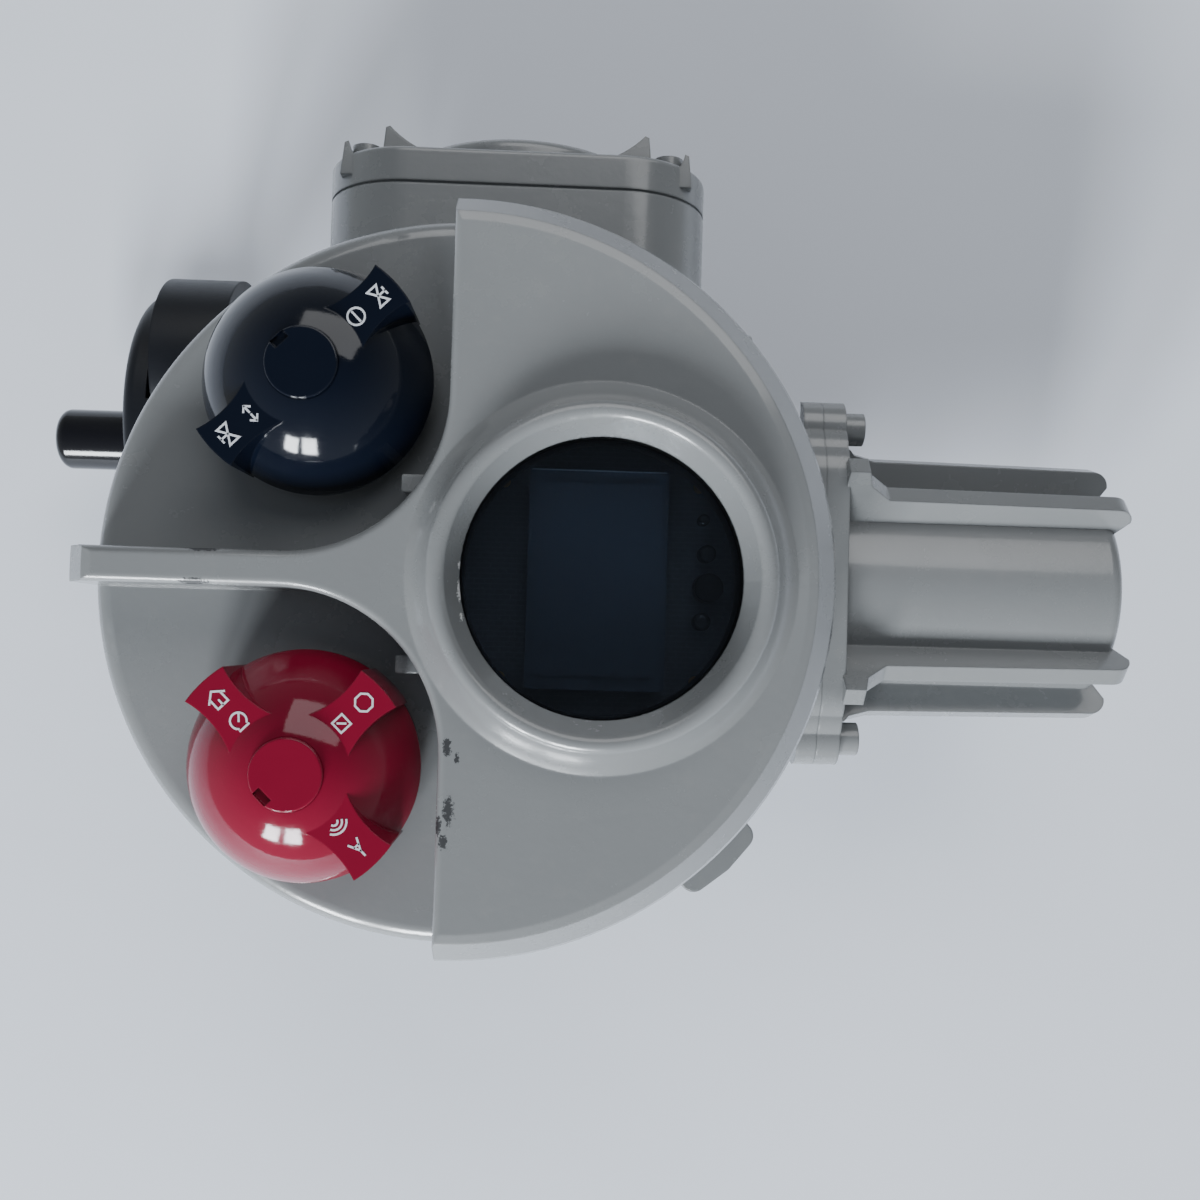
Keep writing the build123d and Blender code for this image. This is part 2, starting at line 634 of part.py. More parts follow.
DISPLAY_TOP_Z = DISPLAY_BOARD_Z + BOARD_T
with BuildPart() as display_board:
    with BuildSketch(WINDOW.offset(DISPLAY_BOARD_Z)):
        Circle(40)
        with GridLocations(DISPLAY_POST_PITCH, DISPLAY_POST_PITCH, 2, 2):
            Circle(1.6, mode=Mode.SUBTRACT)
    extrude(amount=BOARD_T)
save(display_board, "display_board")

with BuildPart() as lcd_module:
    with BuildSketch(WINDOW.offset(DISPLAY_TOP_Z)):
        with Locations((-1, 0)):
            RectangleRounded(36, 57, 1)
    extrude(amount=9)
    with BuildSketch(WINDOW.offset(DISPLAY_TOP_Z + 9)):
        with Locations((-1, 0)):
            RectangleRounded(33, 50, 1)
    extrude(amount=1)
save(lcd_module, "lcd_module")

with BuildPart() as status_lights:
    for x, y, radius, height in ((27, 17, 1.5, 5), (28, 8, 2.3, 6), (27, -10, 2.3, 6)):
        with BuildSketch(WINDOW.offset(DISPLAY_TOP_Z)):
            with Locations((x, y)):
                Circle(radius)
        extrude(amount=height)
        fillet(status_lights.edges().group_by(Axis.Z)[-1], radius * 0.6)
save(status_lights, "status_lights")

with BuildPart() as infrared_window:
    with BuildSketch(WINDOW.offset(DISPLAY_TOP_Z)):
        with Locations((28.5, -1)):
            Circle(3.8)
    extrude(amount=6)
save(infrared_window, "infrared_window")

save(ring(Plane(origin=(COVER_X, 0, JOINT_Z - SEAL_DEPTH)), SEAL_R, SEAL_R - SEAL_WIDTH, SEAL_DEPTH),
     "joint_seal")

# ---- knobs --------------------------------------------------------------------------
TAB_TIP_X = math.sqrt(TAB_TIP_R**2 - TAB_TIP_HALF**2)
CAP_SEAT_Z = KNOB_BASE_Z + KNOB_BORE


def tab_face():
    """Outline of one tab, pointing along X: flared inner end, waisted sides, round outer end."""
    with BuildSketch(mode=Mode.PRIVATE) as face:
        with BuildLine():
            ThreePointArc((TAB_ROOT_X, TAB_ROOT_HALF), (TAB_WAIST_X, TAB_WAIST_HALF),
                          (TAB_TIP_X, TAB_TIP_HALF))
            ThreePointArc((TAB_TIP_X, TAB_TIP_HALF), (TAB_TIP_R, 0), (TAB_TIP_X, -TAB_TIP_HALF))
            ThreePointArc((TAB_TIP_X, -TAB_TIP_HALF), (TAB_WAIST_X, -TAB_WAIST_HALF),
                          (TAB_ROOT_X, -TAB_ROOT_HALF))
            Line((TAB_ROOT_X, -TAB_ROOT_HALF), (TAB_ROOT_X, TAB_ROOT_HALF))
        make_face()
    return face.sketch


def knob(side, pointing, tabs):
    """Domed selector with raised tabs; pointing is the direction of its magnet at rest."""
    centre = Plane(origin=(KNOB_X, side * KNOB_Y, 0))
    axis = Axis((KNOB_X, side * KNOB_Y, 0), (0, 0, 1))
    upright = Plane(origin=(KNOB_X, side * KNOB_Y, 0), x_dir=(1, 0, 0), z_dir=(0, -1, 0))
    base = KNOB_BASE_Z
    with BuildPart() as body:
        # outer dome
        with BuildSketch(upright):
            with BuildLine():
                Line((KNOB_CAP_R, base), (KNOB_R - 2.5, base))
                ThreePointArc((KNOB_R - 2.5, base), (KNOB_R - 0.5, base + 3.5), (KNOB_R, KNOB_EQUATOR_Z))
                ThreePointArc((KNOB_R, KNOB_EQUATOR_Z), (21.5, 163.9), (KNOB_CAP_R, KNOB_SHOULDER_Z))
                Line((KNOB_CAP_R, KNOB_SHOULDER_Z), (KNOB_CAP_R, base))
            make_face()
        revolve(axis=axis)
        with BuildSketch(centre.offset(base)):
            Circle(KNOB_CAP_R)
        extrude(amount=KNOB_BORE)
        for offset_angle in tabs:
            with BuildSketch(centre.offset(KNOB_EQUATOR_Z - 4)):
                with Locations(Location((0, 0), pointing + offset_angle)):
                    add(tab_face())
            extrude(amount=TAB_TOP_Z - KNOB_EQUATOR_Z + 4)
        # hollow underside round the hub
        with BuildSketch(upright):
            with BuildLine():
                Polyline((KNOB_CAP_R + 1, base - 1), (KNOB_R - 5.5, base - 1),
                         (KNOB_R - 4, KNOB_EQUATOR_Z))
                ThreePointArc((KNOB_R - 4, KNOB_EQUATOR_Z), (18.5, 161), (KNOB_CAP_R + 1, 165.5))
                Line((KNOB_CAP_R + 1, 165.5), (KNOB_CAP_R + 1, base - 1))
            make_face()
        revolve(axis=axis, mode=Mode.SUBTRACT)
        # hub bore for the pin, and the recess for the cap
        with BuildSketch(centre.offset(base)):
            Circle(KNOB_PIN_R + RUNNING)
        extrude(amount=KNOB_BORE + 1, mode=Mode.SUBTRACT)
        with BuildSketch(centre.offset(CAP_SEAT_Z)):
            Circle(KNOB_CAP_R)
        extrude(amount=20, mode=Mode.SUBTRACT)
        # magnet seat
        for radius, length, mode in ((MAGNET_SEAT_R, 20, Mode.ADD), (MAGNET_R, 6, Mode.SUBTRACT)):
            with BuildSketch(centre.offset(base)):
                with Locations(Location((0, 0), pointing)):
                    with Locations((MAGNET_REACH, 0)):
                        Circle(radius)
            extrude(amount=length, mode=mode)
    return body


KNOBS = {"black": (1, -45, (90, -90)), "red": (-1, 45, (90, 0, -90))}

for colour, (side, pointing, tabs) in KNOBS.items():
    save(knob(side, pointing, tabs), f"{colour}_knob")
    seat = Plane(origin=(KNOB_X, side * KNOB_Y, 0))
    slot_angle = math.radians(pointing + 180)
    # pin: pressed into the cover, with a head that keeps the knob on
    with BuildPart() as knob_pin:
        with BuildSketch(seat.offset(POCKET_Z - KNOB_PIN_DEPTH)):
            Circle(KNOB_PIN_R)
        extrude(amount=CAP_SEAT_Z + 0.3 - POCKET_Z + KNOB_PIN_DEPTH)
        with BuildSketch(seat.offset(CAP_SEAT_Z + 0.3)):
            Circle(KNOB_CAP_R - 1.5)
        extrude(amount=1.3)
    save(knob_pin, f"{colour}_knob_pin")
    with BuildPart() as knob_cap:
        with BuildSketch(seat.offset(CAP_SEAT_Z + 2)):
            Circle(KNOB_CAP_R)
        extrude(amount=KNOB_TOP_Z - CAP_SEAT_Z - 2)
        fillet(knob_cap.edges().group_by(Axis.Z)[-1], 0.5)
        with BuildSketch(seat.offset(KNOB_TOP_Z)):
            with Locations(Location((7.6 * math.cos(slot_angle), 7.6 * math.sin(slot_angle)), pointing)):
                Rectangle(2.2, 4.2)
        extrude(amount=-1.2, mode=Mode.SUBTRACT)
    save(knob_cap, f"{colour}_knob_cap")
    with BuildPart() as magnet:
        with BuildSketch(seat.offset(KNOB_BASE_Z + 0.5)):
            with Locations(Location((0, 0), pointing)):
                with Locations((MAGNET_REACH, 0)):
                    Circle(MAGNET_R)
        extrude(amount=5.5)
    save(magnet, f"{colour}_knob_magnet")

# ---- output drive -------------------------------------------------------------------
SLEEVE_TOP_Z = PAN_FLOOR_Z + 4.5
WHEEL_LOW_Z = AXIS_Z - WHEEL_FACE / 2
LID_T = 4.5
save(ring(Plane.XY.offset(SLEEVE_LOW_Z), SLEEVE_BUSH_R, SLEEVE_R + RUNNING, CASE_FLOOR_Z - SLEEVE_LOW_Z),
     "lower_output_bush")
with BuildPart() as drive_sleeve:
    with BuildSketch(Plane.XY.offset(SLEEVE_LOW_Z)):
        Circle(SLEEVE_R)
    extrude(amount=SLEEVE_TOP_Z - SLEEVE_LOW_Z)
    with BuildSketch(Plane.XY.offset(CASE_FLOOR_Z + 0.5)):
        Circle(SLEEVE_R + 5)
    extrude(amount=10)
    with BuildSketch(Plane.XY):
        Circle(STEM_R)
        with Locations((STEM_R + 1, 0)):
            Rectangle(6, KEY_WIDTH)
    extrude(amount=STEM_DEPTH, mode=Mode.SUBTRACT)
    with BuildSketch(Plane.XY.offset(SLEEVE_TOP_Z)):
        Circle(4)
    extrude(amount=MAGNET_LIFT)
save(drive_sleeve, "drive_sleeve")

with BuildPart() as worm_wheel:
    with BuildSketch(Plane.XY.offset(WHEEL_LOW_Z)):
        add(gear_face(WORM_MODULE, WHEEL_TEETH, WHEEL_BACKLASH, math.pi / 2))
    extrude(amount=WHEEL_FACE)
    with BuildSketch(Plane.XY.offset(WHEEL_LOW_Z - WHEEL_HUB_T)):
        Circle(WHEEL_HUB_R)
    extrude(amount=WHEEL_FACE + WHEEL_HUB_T)
    for face_z, step in ((WHEEL_LOW_Z, WHEEL_RECESS), (WHEEL_LOW_Z + WHEEL_FACE, -WHEEL_RECESS)):
        with BuildSketch(Plane.XY.offset(face_z)):
            Circle(WHEEL_WEB_R)
            Circle(WHEEL_HUB_R, mode=Mode.SUBTRACT)
        extrude(amount=step, mode=Mode.SUBTRACT)
    with BuildSketch(Plane.XY.offset(WHEEL_LOW_Z - WHEEL_HUB_T)):
        Circle(SLEEVE_R)
    extrude(amount=WHEEL_FACE + WHEEL_HUB_T, mode=Mode.SUBTRACT)
save(worm_wheel, "worm_wheel")

# quarter-turn stop sector, fixed on the sleeve above the wheel
with BuildPart() as stop_sector:
    with BuildSketch(Plane.XY.offset(STOP_Z - SECTOR_T / 2)):
        Circle(SLEEVE_R + 5.5)
        with BuildLine():
            Line((0, 0), (SECTOR_R, 0))
            ThreePointArc((SECTOR_R, 0), (SECTOR_R * math.sqrt(0.5), SECTOR_R * math.sqrt(0.5)),
                          (0, SECTOR_R))
            Line((0, SECTOR_R), (0, 0))
        make_face()
        Circle(SLEEVE_R, mode=Mode.SUBTRACT)
    extrude(amount=SECTOR_T)
save(stop_sector, "stop_sector")

STOP_SCREW_OUT = 10.0           # length that stands outside the boss
with BuildPart() as stop_screws:
    for x in (-STOP_X, STOP_X):
        with BuildSketch(stop_plane(x).offset(-STOP_SCREW_OUT)):
            Circle(STOP_SCREW_R)
        extrude(amount=STOP_SCREW_OUT - STOP_SEAT_Y - 0.4)
        with BuildSketch(stop_plane(x).offset(-STOP_SCREW_OUT)):
            Circle(2)
        extrude(amount=4, mode=Mode.SUBTRACT)
save(stop_screws, "stop_screws")
with BuildPart() as stop_nuts:
    for x in (-STOP_X, STOP_X):
        with BuildSketch(stop_plane(x)):
            RegularPolygon(STOP_NUT_R, 6)
            Circle(STOP_SCREW_R, mode=Mode.SUBTRACT)
        extrude(amount=-6)
save(stop_nuts, "stop_nuts")

with BuildPart() as gearbox_lid:
    with BuildSketch(Plane.XY.offset(PAN_FLOOR_Z)):
        Circle(CASE_CAVITY_R + 1.9)
        Circle(SLEEVE_R + 3, mode=Mode.SUBTRACT)
    extrude(amount=LID_T)
save(gearbox_lid, "gearbox_lid")
save(ring(Plane.XY.offset(PAN_FLOOR_Z + LID_T), CASE_CAVITY_R + 2, CASE_CAVITY_R - 3, 1.5), "lid_circlip")
save(ring(Plane.XY.offset(PAN_FLOOR_Z), SLEEVE_R + 3, SLEEVE_R + RUNNING, 5), "upper_output_bush")


# ---- worm shaft and spur train ------------------------------------------------------
def worm_thread():
    """Single-start thread, trapezium section carried along its helix."""
    helix = Helix(math.pi * WORM_MODULE, WORM_LENGTH, WORM_ROOT_R, center=(0, 0, 0))
    section_plane = Plane(origin=helix @ 0, x_dir=(1, 0, 0), z_dir=helix % 0)
    with BuildSketch(section_plane, mode=Mode.PRIVATE) as section:
        with BuildLine():
            Polyline((-0.6, -1.3), (1.2, -1.1), (3.6, -0.55), (3.6, 0.55), (1.2, 1.1), (-0.6, 1.3),
                     close=True)
        make_face()
    return sweep(section.sketch, path=helix, is_frenet=True, mode=Mode.PRIVATE)


SHAFT_START_X = CRANK_FACE_X + 4
SHAFT_END_X = CHAMBER_X - 0.5
thread = WORM_AXIS.offset(-WORM_LENGTH / 2) * worm_thread()
with BuildPart() as worm_shaft:
    with BuildSketch(WORM_AXIS.offset(SHAFT_START_X)):
        Circle(SHAFT_R)
    extrude(amount=SHAFT_END_X - SHAFT_START_X)
    with BuildSketch(WORM_AXIS.offset(-WORM_LENGTH / 2 - 6)):
        Circle(WORM_ROOT_R)
    extrude(amount=WORM_LENGTH + 12)
    add(thread)
save(worm_shaft, "worm_shaft")

BUSH_BORE_R = SHAFT_R + RUNNING
WORM_SPACE_END_X = WORM_SPACE_X + WORM_SPACE_LENGTH
save(ring(WORM_AXIS.offset(WORM_SPACE_X - BUSH_LENGTH - 2), BUSH_R, BUSH_BORE_R, BUSH_LENGTH),
     "worm_bush_crank_side")
save(ring(WORM_AXIS.offset(WORM_SPACE_END_X + 2), BUSH_R, BUSH_BORE_R, BUSH_LENGTH),
     "worm_bush_motor_side")
save(ring(WORM_AXIS.offset(TUNNEL_END_X + 1), BUSH_R, BUSH_BORE_R, 6), "crank_shaft_seal")

with BuildPart() as worm_gear:
    with BuildSketch(WORM_AXIS.offset(SPUR_X)):
        add(gear_face(SPUR_MODULE, WORM_GEAR_TEETH, SPUR_BACKLASH))
        Circle(SHAFT_R, mode=Mode.SUBTRACT)
    extrude(amount=SPUR_FACE)
save(worm_gear, "worm_gear")

with BuildPart() as idler_gear:
    with BuildSketch(IDLER_AXIS.offset(SPUR_X)):
        add(gear_face(SPUR_MODULE, IDLER_TEETH, SPUR_BACKLASH, math.pi / IDLER_TEETH))
        Circle(IDLER_PIN_R + RUNNING, mode=Mode.SUBTRACT)
    extrude(amount=SPUR_FACE)
    with BuildSketch(IDLER_AXIS.offset(SPUR_X)):
        Circle(17)
        Circle(8, mode=Mode.SUBTRACT)
    extrude(amount=2, mode=Mode.SUBTRACT)
save(idler_gear, "idler_gear")

with BuildPart() as idler_pin:
    with BuildSketch(IDLER_AXIS.offset(IDLER_PIN_X)):
        Circle(IDLER_PIN_R)
    extrude(amount=CHAMBER_X - IDLER_PIN_X)
save(idler_pin, "idler_pin")

with BuildPart() as motor_pinion:
    with BuildSketch(MOTOR_AXIS.offset(SPUR_X)):
        add(gear_face(SPUR_MODULE, PINION_TEETH, SPUR_BACKLASH))
        Circle(MOTOR_SHAFT_R, mode=Mode.SUBTRACT)
    extrude(amount=SPUR_FACE)
save(motor_pinion, "motor_pinion")

# ---- motor --------------------------------------------------------------------------
PLATE_SEAT_X = CHAMBER_X + LOBE_T
with BuildPart() as gear_chamber_plate:
    with BuildSketch(across_x(CHAMBER_X)):
        add(chamber_face())
    extrude(amount=LOBE_T)
    with BuildSketch(MOTOR_AXIS.offset(CHAMBER_X)):
        RectangleRounded(2 * SEAT_HALF_Y, 2 * SEAT_HALF_Z, SEAT_CORNER_R)
    extrude(amount=SEAT_X - CHAMBER_X)
    with BuildSketch(MOTOR_AXIS.offset(SEAT_X - 6)):
        add(lug_face())
    extrude(amount=6)
    # cut back round the flare of the pan
    reach = COVER_X + PAN_R + 0.5
    with BuildSketch(Plane.XZ):
        Polygon((COVER_X, FLARE_Z), (reach - RIM_Z + FLARE_Z, FLARE_Z), (reach, RIM_Z), (reach, JOINT_Z),
                (COVER_X, JOINT_Z), align=None)
    revolve(axis=COVER_AXIS, mode=Mode.SUBTRACT)
    # shaft bore, seats and holes of the plate screws, threads of the motor screws
    with BuildSketch(MOTOR_AXIS.offset(CHAMBER_X)):
        Circle(ADAPTER_BORE_R)
    extrude(amount=SEAT_X - CHAMBER_X, mode=Mode.SUBTRACT)
    with BuildSketch(across_x(CHAMBER_X)):
        with Locations(*PLATE_BOLTS):
            Circle(PLATE_SCREW_R + 0.2)
    extrude(amount=LOBE_T, mode=Mode.SUBTRACT)
    with BuildSketch(across_x(PLATE_SEAT_X)):
        with Locations(*PLATE_BOLTS):
            Circle(PLATE_SCREW_R + 2.2)
    extrude(amount=SEAT_X - PLATE_SEAT_X, mode=Mode.SUBTRACT)
    with BuildSketch(MOTOR_AXIS.offset(SEAT_X - 6)):
        with Locations(*MOTOR_BOLTS):
            Circle(MOTOR_SCREW_R)
    extrude(amount=6, mode=Mode.SUBTRACT)
save(gear_chamber_plate, "gear_chamber_plate")

plate_screw_seats = [across_x(PLATE_SEAT_X, y, z) for y, z in PLATE_BOLTS]
save(cap_screws(plate_screw_seats, PLATE_SCREW_R, PLATE_SCREW_LENGTH, 4.2, 4.5), "plate_screws")


def rib_face(top_r):
    """Side view of one rib: x along the motor, y outwards, rising to top_r at the flange."""
    with BuildSketch(mode=Mode.PRIVATE) as face:
        with BuildLine():
            Polyline((0, MOTOR_R - 3), (0, top_r), (6, top_r), (7.5, (top_r + RIB_R) / 2), (14, RIB_R),
                     (RIB_LENGTH - RIB_CORNER_R, RIB_R - 1))
            RadiusArc((RIB_LENGTH - RIB_CORNER_R, RIB_R - 1), (RIB_LENGTH, RIB_R - 1 - RIB_CORNER_R),
                      RIB_CORNER_R)
            Polyline((RIB_LENGTH, RIB_R - 1 - RIB_CORNER_R), (RIB_LENGTH - 4, MOTOR_R - 3),
                     (0, MOTOR_R - 3))
        make_face()
    return face.sketch


with BuildPart() as motor_housing:
    with BuildSketch(MOTOR_AXIS.offset(SEAT_X)):
        add(lug_face())
        with Locations(*MOTOR_BOLTS):
            Circle(MOTOR_SCREW_R + 0.3, mode=Mode.SUBTRACT)
    extrude(amount=FLANGE_T)
    with BuildSketch(MOTOR_AXIS.offset(SEAT_X)):
        Circle(MOTOR_R)
    extrude(amount=MOTOR_END_X - SEAT_X)
    fillet(motor_housing.faces().sort_by(Axis.X)[-1].edges(), 4)
    for angle in RIB_ANGLES:
        turn = math.radians(angle)
        along = Plane(origin=(RIB_X, MOTOR_Y, AXIS_Z), x_dir=(1, 0, 0),
                      z_dir=(0, -math.sin(turn), math.cos(turn)))
        diagonal = abs(math.sin(turn)) > 0.5
        with BuildSketch(along):
            add(rib_face(GUSSET_R if diagonal else SIDE_GUSSET_R))
        extrude(amount=RIB_T / 2, both=True)
    with BuildSketch(MOTOR_AXIS.offset(SEAT_X)):
        Circle(MOTOR_BORE_R)
    extrude(amount=MOTOR_END_X - SEAT_X - MOTOR_WALL, mode=Mode.SUBTRACT)
    with BuildSketch(MOTOR_AXIS.offset(MOTOR_END_X - MOTOR_WALL)):
        Circle(REAR_BEARING_R)
    extrude(amount=7, mode=Mode.SUBTRACT)
save(motor_housing, "motor_housing")

motor_screw_seats = [
    across_x(SEAT_X + FLANGE_T, MOTOR_Y + y, AXIS_Z + z) for y, z in MOTOR_BOLTS
]
save(cap_screws(motor_screw_seats, MOTOR_SCREW_R, FLANGE_T + 6, 5, 6.5), "motor_screws")

with BuildPart() as motor_shaft:
    with BuildSketch(MOTOR_AXIS.offset(SPUR_X)):
        Circle(MOTOR_SHAFT_R)
    extrude(amount=MOTOR_END_X - 7 - SPUR_X)
save(motor_shaft, "motor_shaft")
save(ring(MOTOR_AXIS.offset(STATOR_X + 1), ROTOR_R, MOTOR_SHAFT_R, STATOR_LENGTH - 2), "rotor_core")
with BuildPart() as stator:
    with BuildSketch(MOTOR_AXIS.offset(STATOR_X)):
        Circle(MOTOR_BORE_R)
        Circle(STATOR_BORE_R, mode=Mode.SUBTRACT)
    extrude(amount=STATOR_LENGTH)
    for face_x in (STATOR_X - WINDING_LENGTH, STATOR_X + STATOR_LENGTH):
        with BuildSketch(MOTOR_AXIS.offset(face_x)):
            Circle(MOTOR_BORE_R - 1)
            Circle(STATOR_BORE_R + 1, mode=Mode.SUBTRACT)
        extrude(amount=WINDING_LENGTH)
save(stator, "stator")
with BuildPart() as motor_bearings:
    for start_x, length, outer_r in ((SEAT_X - 12, 11, ADAPTER_BORE_R),
                                     (MOTOR_END_X - MOTOR_WALL, 6, REAR_BEARING_R)):
        with BuildSketch(MOTOR_AXIS.offset(start_x)):
            Circle(outer_r)
            Circle(MOTOR_SHAFT_R + RUNNING, mode=Mode.SUBTRACT)
        extrude(amount=length)
save(motor_bearings, "motor_bearings")


# ---- terminal box -------------------------------------------------------------------
def fins():
    """Pointed fins beside the lid screws, seen along Z: steep outside, hollow inside."""
    with BuildSketch(mode=Mode.PRIVATE) as face:
        for root_x, tip_x, tip_y, foot_y in ((20, 38.5, 135.0, 126), (41, 50.5, 130.0, 122)):
            hollow = ((root_x + tip_x) / 2 + 2, foot_y + (tip_y - foot_y) * 0.42)
            with BuildLine():
                ThreePointArc((root_x, foot_y), hollow, (tip_x - 0.6, tip_y))
                Polyline((tip_x - 0.6, tip_y), (tip_x + 0.6, tip_y - 0.5), (tip_x + 1.6, foot_y - 2),
                         (root_x, foot_y - 2), (root_x, foot_y))
            make_face()
        mirror(about=Plane.YZ)
    return face.sketch


with BuildPart() as terminal_lid:
    with BuildSketch(across_y(BOX_JOINT_Y + LID_GROOVE)):
        RectangleRounded(2 * BOX_HALF_X, BOX_HEIGHT, BOX_CORNER_R)
    extrude(amount=LID_TOP_Y - BOX_JOINT_Y - LID_GROOVE)
    with BuildSketch(across_y(LID_TOP_Y)):
        Circle(LID_BOSS_R)
    extrude(amount=LID_BOSS_Y - LID_TOP_Y)
    fillet(terminal_lid.edges().filter_by_position(Axis.Y, LID_BOSS_Y - 0.1, LID_BOSS_Y + 0.1),
           LID_BOSS_EDGE_R)
    outline = terminal_lid.edges().filter_by_position(Axis.Y, LID_TOP_Y - 0.1, LID_TOP_Y + 0.1)
    fillet(outline.filter_by(lambda e: not e.geom_type == GeomType.CIRCLE or e.radius < LID_BOSS_R - 1),
           LID_EDGE_R)
    for z in (BOX_MID_Z - LID_BOLT_Z, BOX_MID_Z + LID_BOLT_Z):
        with BuildSketch(Plane(origin=(BOX_X, 0, z - FIN_T / 2))):
            add(fins())
        extrude(amount=FIN_T)
    # seam step, screw seats and holes, hollow inside
    with BuildSketch(across_y(BOX_JOINT_Y)):
        RectangleRounded(2 * (BOX_HALF_X - LID_GROOVE), BOX_HEIGHT - 2 * LID_GROOVE,
                         BOX_CORNER_R - LID_GROOVE)
    extrude(amount=LID_GROOVE)
    with BuildSketch(across_y(LID_BOLT_SEAT_Y)):
        with Locations(*LID_BOLTS):
            Circle(LID_SEAT_R)
    extrude(amount=20, mode=Mode.SUBTRACT)
    with BuildSketch(across_y(BOX_JOINT_Y)):
        with Locations(*LID_BOLTS):
            Circle(LID_SCREW_R + 0.3)
    extrude(amount=20, mode=Mode.SUBTRACT)
    with BuildSketch(across_y(BOX_JOINT_Y)):
        Circle(LID_SPACE_R)
    extrude(amount=LID_SPACE_DEPTH, mode=Mode.SUBTRACT)
save(terminal_lid, "terminal_lid")

lid_screw_seats = [
    Plane(origin=(BOX_X + x, LID_BOLT_SEAT_Y, BOX_MID_Z + z), x_dir=(1, 0, 0), z_dir=(0, 1, 0))
    for x, z in LID_BOLTS
]
save(cap_screws(lid_screw_seats, LID_SCREW_R, 14, 4.5, 6), "terminal_lid_screws")

with BuildPart() as terminal_strip:
    with BuildSketch(across_y(BOX_FLOOR_Y)):
        Rectangle(STRIP_WAYS * STRIP_PITCH + 4, 22)
    extrude(amount=STRIP_TOP_Y - BOX_FLOOR_Y)
    with BuildSketch(across_y(STRIP_TOP_Y)):
        with GridLocations(STRIP_PITCH, STRIP_ROW, STRIP_WAYS, 2):
            Rectangle(6, 5)
    extrude(amount=-4, mode=Mode.SUBTRACT)
save(terminal_strip, "terminal_strip")

with BuildPart() as terminal_clamps:
    with BuildSketch(across_y(STRIP_TOP_Y - 4)):
        with GridLocations(STRIP_PITCH, STRIP_ROW, STRIP_WAYS, 2):
            Circle(2.2)
    extrude(amount=3)
save(terminal_clamps, "terminal_clamps")

with BuildPart() as cable_plug:
    with BuildSketch(Plane(origin=(ENTRY_X, ENTRY_Y, BOX_LOW_Z))):
        Circle(ENTRY_R)
    extrude(amount=BOX_WALL)
    with BuildSketch(Plane(origin=(ENTRY_X, ENTRY_Y, BOX_LOW_Z - 6))):
        RegularPolygon(ENTRY_R + 3, 6)
    extrude(amount=6)
save(cable_plug, "cable_plug")

# ---- crank --------------------------------------------------------------------------
CRANK_AXIS = Plane(origin=(0, WORM_Y, AXIS_Z), x_dir=(0, 1, 0), z_dir=(-1, 0, 0))
GRIP_AXIS = Plane(origin=(0, CRANK_KNOB_Y, CRANK_KNOB_Z), x_dir=(0, 1, 0), z_dir=(-1, 0, 0))
GRIP_START_X = CRANK_FACE_X - GRIP_GAP
with BuildPart() as crank_arm:
    with BuildSketch(CRANK_AXIS.offset(-CRANK_BACK_X)):
        Circle(CRANK_R)
    extrude(amount=CRANK_BACK_X - ARM_BACK_X)
    with BuildSketch(CRANK_AXIS.offset(-ARM_BACK_X)):
        with Locations((CRANK_DISC_Y - WORM_Y, AXIS_Z - CRANK_DISC_Z)):
            Circle(CRANK_DISC_R)
    extrude(amount=ARM_BACK_X - CRANK_FACE_X)
    fillet(crank_arm.faces().sort_by(Axis.X)[0].edges(), CRANK_EDGE_R)
    # hollow back with a long hub, bored for the shaft
    with BuildSketch(CRANK_AXIS.offset(-CRANK_BACK_X)):
        Circle(CRANK_R - CRANK_SKIRT)
    extrude(amount=CRANK_BACK_X - ARM_BACK_X + 3, mode=Mode.SUBTRACT)
    with BuildSketch(CRANK_AXIS.offset(-CRANK_HUB_X)):
        Circle(CRANK_HUB_R)
    extrude(amount=CRANK_HUB_X - ARM_BACK_X + 4)
    with BuildSketch(CRANK_AXIS.offset(-CRANK_HUB_X)):
        Circle(SHAFT_R)
    extrude(amount=CRANK_HUB_X - SHAFT_START_X, mode=Mode.SUBTRACT)
    with BuildSketch(GRIP_AXIS.offset(-ARM_BACK_X - 1)):
        Circle(GRIP_PIN_R)
    extrude(amount=20, mode=Mode.SUBTRACT)
save(crank_arm, "crank_arm")

GRIP_LENGTH = GRIP_START_X - GRIP_END_X
with BuildPart() as crank_grip:
    with BuildSketch(GRIP_AXIS.offset(-GRIP_START_X)):
        Circle(GRIP_R)
    extrude(amount=GRIP_LENGTH)
    fillet(crank_grip.edges().group_by(Axis.X)[0], GRIP_EDGE_R)
    with BuildSketch(GRIP_AXIS.offset(-GRIP_START_X)):
        Circle(GRIP_PIN_R + RUNNING)
    extrude(amount=GRIP_LENGTH - 5, mode=Mode.SUBTRACT)
save(crank_grip, "crank_grip")

with BuildPart() as grip_pin:
    with BuildSketch(GRIP_AXIS.offset(-ARM_BACK_X)):
        Circle(GRIP_PIN_R)
    extrude(amount=ARM_BACK_X - GRIP_END_X - 6)
save(grip_pin, "grip_pin")

# ---- electronics --------------------------------------------------------------------
BOARD_TOP_Z = MAIN_BOARD_Z + BOARD_T
MAIN_POSTS = [
    (COVER_X + POST_PITCH_R * math.cos(math.radians(a)), POST_PITCH_R * math.sin(math.radians(a)))
    for a in range(60, 360, 60)
]
with BuildPart() as main_board:
    with BuildSketch(Plane.XY.offset(MAIN_BOARD_Z)):
        with Locations((COVER_X, 0)):
            Circle(BOARD_R)
    extrude(amount=BOARD_T)
save(main_board, "main_board")

with BuildPart() as board_posts:
    with BuildSketch(Plane.XY.offset(PAN_LEDGE_Z)):
        with Locations(*MAIN_POSTS):
            RegularPolygon(3.4, 6)
    extrude(amount=MAIN_BOARD_Z - PAN_LEDGE_Z)
save(board_posts, "board_posts")

